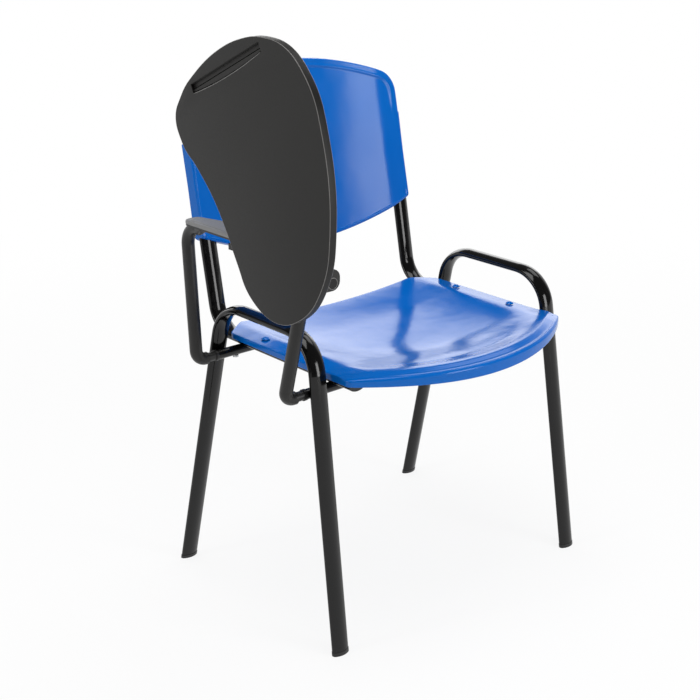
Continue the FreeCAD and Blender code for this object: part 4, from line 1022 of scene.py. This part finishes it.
def make_armrest_pad():
    """Grained pad that wraps the top and sides of the armrest, with a seam line inside its rim."""
    node = nodes["armrest_base"]
    corners = [node.matrix_world @ vertex.co for vertex in node.data.vertices]
    high = max(corner.z for corner in corners)
    low = min(corner.z for corner in corners)
    near_top = [corner for corner in corners if corner.z > high - 0.75 * (high - low)]
    hull = convex_hull_2d([(corner.x, corner.y) for corner in near_top])
    ring = np.array([(near_top[k].x, near_top[k].y) for k in hull])
    area = sum(ring[i - 1][0] * ring[i][1] - ring[i][0] * ring[i - 1][1] for i in range(len(ring)))
    if area < 0:
        ring = ring[::-1]
    ring = resample(np.concatenate((ring, ring[:1])), np.linspace(0.0, 1.0, PAD_POINTS + 1))[:-1]
    for _ in range(6):
        ring = (np.roll(ring, 1, axis=0) + 2.0 * ring + np.roll(ring, -1, axis=0)) / 4.0
    normal = loop_normals(ring)
    top = high + PAD_RISE
    skirt = high - PAD_WRAP * (high - low)
    # inset and height of each ring: the wrap's lower edge, its side, the rounded rim, the seam, the top
    profile = [(0.0012, skirt), (-0.0005, skirt + 0.0001), (-PAD_OVERHANG, skirt + 0.0006),
               (-PAD_OVERHANG, top - 0.0030)]
    profile += [(-PAD_OVERHANG + PAD_EDGE * (1 - math.cos(angle)), top - PAD_EDGE * (1 - math.sin(angle)))
                for angle in np.linspace(0.1, math.pi / 2, 8)]
    profile += [(0.0034, top), (0.0039, top - 0.0002), (0.0043, top - 0.0008), (0.0049, top - 0.0008),
                (0.0053, top - 0.0002), (0.0060, top + 0.0001), (0.0080, top + 0.0003),
                (0.0105, top + 0.0004)]
    rings = [np.column_stack((ring - normal * inset, np.full(len(ring), z))) for inset, z in profile]
    points, faces = stack(rings)
    pad = new_piece("armrest_cushion", points, faces, "frame", FINISHES["grained_pad"])
    pad.data.set_sharp_from_angle(angle=math.radians(50.0))
    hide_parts("armrest_inlay")


make_armrest_pad()


# Hub
HUB_FACE = (-0.283, -0.2111, 0.595)
HUB_LIP_REACH = 0.0078
HUB_LIP_RADIUS = 0.0007
HUB_AROUND = 64
HUB_TUBE = 10


def make_hub_ring():
    """Raised lip around the shaft's recess on the front of the hub; its light colour is a painted
    highlight on the lip.
    """
    centre = np.array(HUB_FACE) + np.array(SHIFT)
    points = []
    for i in range(HUB_AROUND):
        around = 2.0 * math.pi * i / HUB_AROUND
        for k in range(HUB_TUBE):
            turn = 2.0 * math.pi * k / HUB_TUBE
            reach = HUB_LIP_REACH + HUB_LIP_RADIUS * math.cos(turn)
            points.append(centre + np.array((reach * math.cos(around), HUB_LIP_RADIUS * math.sin(turn),
                                             reach * math.sin(around))))
    faces = []
    for i in range(HUB_AROUND):
        here = i * HUB_TUBE
        there = (i + 1) % HUB_AROUND * HUB_TUBE
        for k in range(HUB_TUBE):
            following = (k + 1) % HUB_TUBE
            faces.append((here + k, there + k, there + following, here + following))
    # the lip is real, and its light grey colour is a painted highlight on its rim
    new_piece("hub_lip_and_highlight", points, faces, "tablet", EDGE_HIGHLIGHT_FINISH)


make_hub_ring()


# Floor, world and lamps
FLOOR_HALF = 14.0
FLOOR_COLOUR = (0.86, 0.86, 0.86, 1.0)
FLOOR_GLOW_NEAR = 0.86
FLOOR_FADE = (0.7, 2.4)
WORLD_SOFT = 0.40
WORLD_ROOM = 0.12
WALL_TURN = (-0.25, 0.2)
WALL_TOP = (0.60, 0.37)
WHITE = (1.0, 1.0, 1.0, 1.0)
MIDDLE = (0.0, 0.0, 0.45)
# name, place, aim, size, radiance
LAMPS = (
    ("over_soft_box", (-0.3, -0.2, 2.5), MIDDLE, (1.5, 1.5), 4.0),
    ("rear_soft_box", (1.6, 2.5, 1.3), MIDDLE, (4.8, 1.1), 1.7),
    ("right_soft_box", (1.45, 0.05, 2.15), MIDDLE, (0.9, 0.9), 2.4),
    ("front_soft_box", (0.9, -2.7, 0.92), (0.0, 0.0, 0.6), (0.9, 1.45), 7.5),
    ("left_soft_box", (-2.6, 0.5, 1.4), MIDDLE, (0.4, 1.9), 7.0),
)


def combine(tree, operation, first, second):
    """A math node that takes two outputs."""
    node = tree.nodes.new("ShaderNodeMath")
    node.operation = operation
    tree.links.new(first, node.inputs[0])
    tree.links.new(second, node.inputs[1])
    return node.outputs[0]


def soft_step(tree, source, limits, low=0.0):
    """A value that eases from low to one as its source goes from the first limit to the second."""
    node = tree.nodes.new("ShaderNodeMapRange")
    node.interpolation_type = "SMOOTHSTEP"
    node.inputs["From Min"].default_value = limits[0]
    node.inputs["From Max"].default_value = limits[1]
    node.inputs["To Min"].default_value = low
    node.inputs["To Max"].default_value = 1.0
    tree.links.new(source, node.inputs["Value"])
    return node.outputs["Result"]


def seen_rays(tree):
    """One for camera, glossy and transmission rays, and none for the rest."""
    light_path = tree.nodes.new("ShaderNodeLightPath")
    direct = combine(tree, "MAXIMUM", light_path.outputs["Is Camera Ray"],
                     light_path.outputs["Is Glossy Ray"])
    return combine(tree, "MAXIMUM", direct, light_path.outputs["Is Transmission Ray"])


def mixed(tree, factor, first, second):
    """A shader that goes from the first to the second by a factor."""
    node = tree.nodes.new("ShaderNodeMixShader")
    tree.links.new(factor, node.inputs["Fac"])
    tree.links.new(first, node.inputs[1])
    tree.links.new(second, node.inputs[2])
    return node.outputs["Shader"]


def white_light(node, strength):
    node.inputs["Color"].default_value = WHITE
    node.inputs["Strength"].default_value = strength
    return node.outputs["Background"]


def add_floor():
    """Pale floor that keeps shadows, with a white glow that grows away from the chair."""
    half = FLOOR_HALF
    corners = [(-half, -half, 0.0), (half, -half, 0.0), (half, half, 0.0), (-half, half, 0.0)]
    mesh = bpy.data.meshes.new("studio_floor")
    mesh.from_pydata(corners, [], [(0, 1, 2, 3)])
    floor = bpy.data.objects.new("studio_floor", mesh)
    scene.collection.objects.link(floor)
    material = bpy.data.materials.new("studio_floor")
    material.use_nodes = True
    tree = material.node_tree
    shader = tree.nodes["Principled BSDF"]
    shader.inputs["Base Color"].default_value = FLOOR_COLOUR
    shader.inputs["Roughness"].default_value = 0.9
    shader.inputs["Specular IOR Level"].default_value = 0.1
    glow = tree.nodes.new("ShaderNodeEmission")
    glow.inputs["Strength"].default_value = 1.0
    place = tree.nodes.new("ShaderNodeTexCoord")
    reach = tree.nodes.new("ShaderNodeVectorMath")
    reach.operation = "LENGTH"
    tree.links.new(place.outputs["Object"], reach.inputs[0])
    fade = soft_step(tree, reach.outputs["Value"], FLOOR_FADE, FLOOR_GLOW_NEAR)
    share = combine(tree, "MULTIPLY", seen_rays(tree), fade)
    surface = mixed(tree, share, shader.outputs["BSDF"], glow.outputs["Emission"])
    tree.links.new(surface, tree.nodes["Material Output"].inputs["Surface"])
    mesh.materials.append(material)


def add_world():
    """White all round for the camera. Reflections see a white wall behind and a dim room elsewhere."""
    world = bpy.data.worlds.new("studio_world")
    scene.world = world
    world.use_nodes = True
    tree = world.node_tree
    soft = white_light(tree.nodes["Background"], WORLD_SOFT)
    white = white_light(tree.nodes.new("ShaderNodeBackground"), 1.0)
    room = white_light(tree.nodes.new("ShaderNodeBackground"), WORLD_ROOM)
    place = tree.nodes.new("ShaderNodeTexCoord")
    split = tree.nodes.new("ShaderNodeSeparateXYZ")
    tree.links.new(place.outputs["Generated"], split.inputs["Vector"])
    behind = soft_step(tree, split.outputs["Y"], WALL_TURN)
    low = soft_step(tree, split.outputs["Z"], WALL_TOP)
    light_path = tree.nodes.new("ShaderNodeLightPath")
    wall = combine(tree, "MAXIMUM", combine(tree, "MULTIPLY", behind, low),
                   light_path.outputs["Is Camera Ray"])
    seen = mixed(tree, wall, room, white)
    surface = mixed(tree, seen_rays(tree), soft, seen)
    tree.links.new(surface, tree.nodes["World Output"].inputs["Surface"])


def add_lamp(name, place, aim, size, radiance):
    data = bpy.data.lights.new(name, "AREA")
    data.shape = "RECTANGLE"
    data.size = size[0]
    data.size_y = size[1]
    data.energy = radiance * math.pi * size[0] * size[1]
    lamp = bpy.data.objects.new(name, data)
    scene.collection.objects.link(lamp)
    lamp.location = place
    lamp.rotation_euler = (Vector(aim) - Vector(place)).to_track_quat("-Z", "Y").to_euler()
    lamp.visible_camera = False


add_floor()
add_world()
for lamp in LAMPS:
    add_lamp(*lamp)
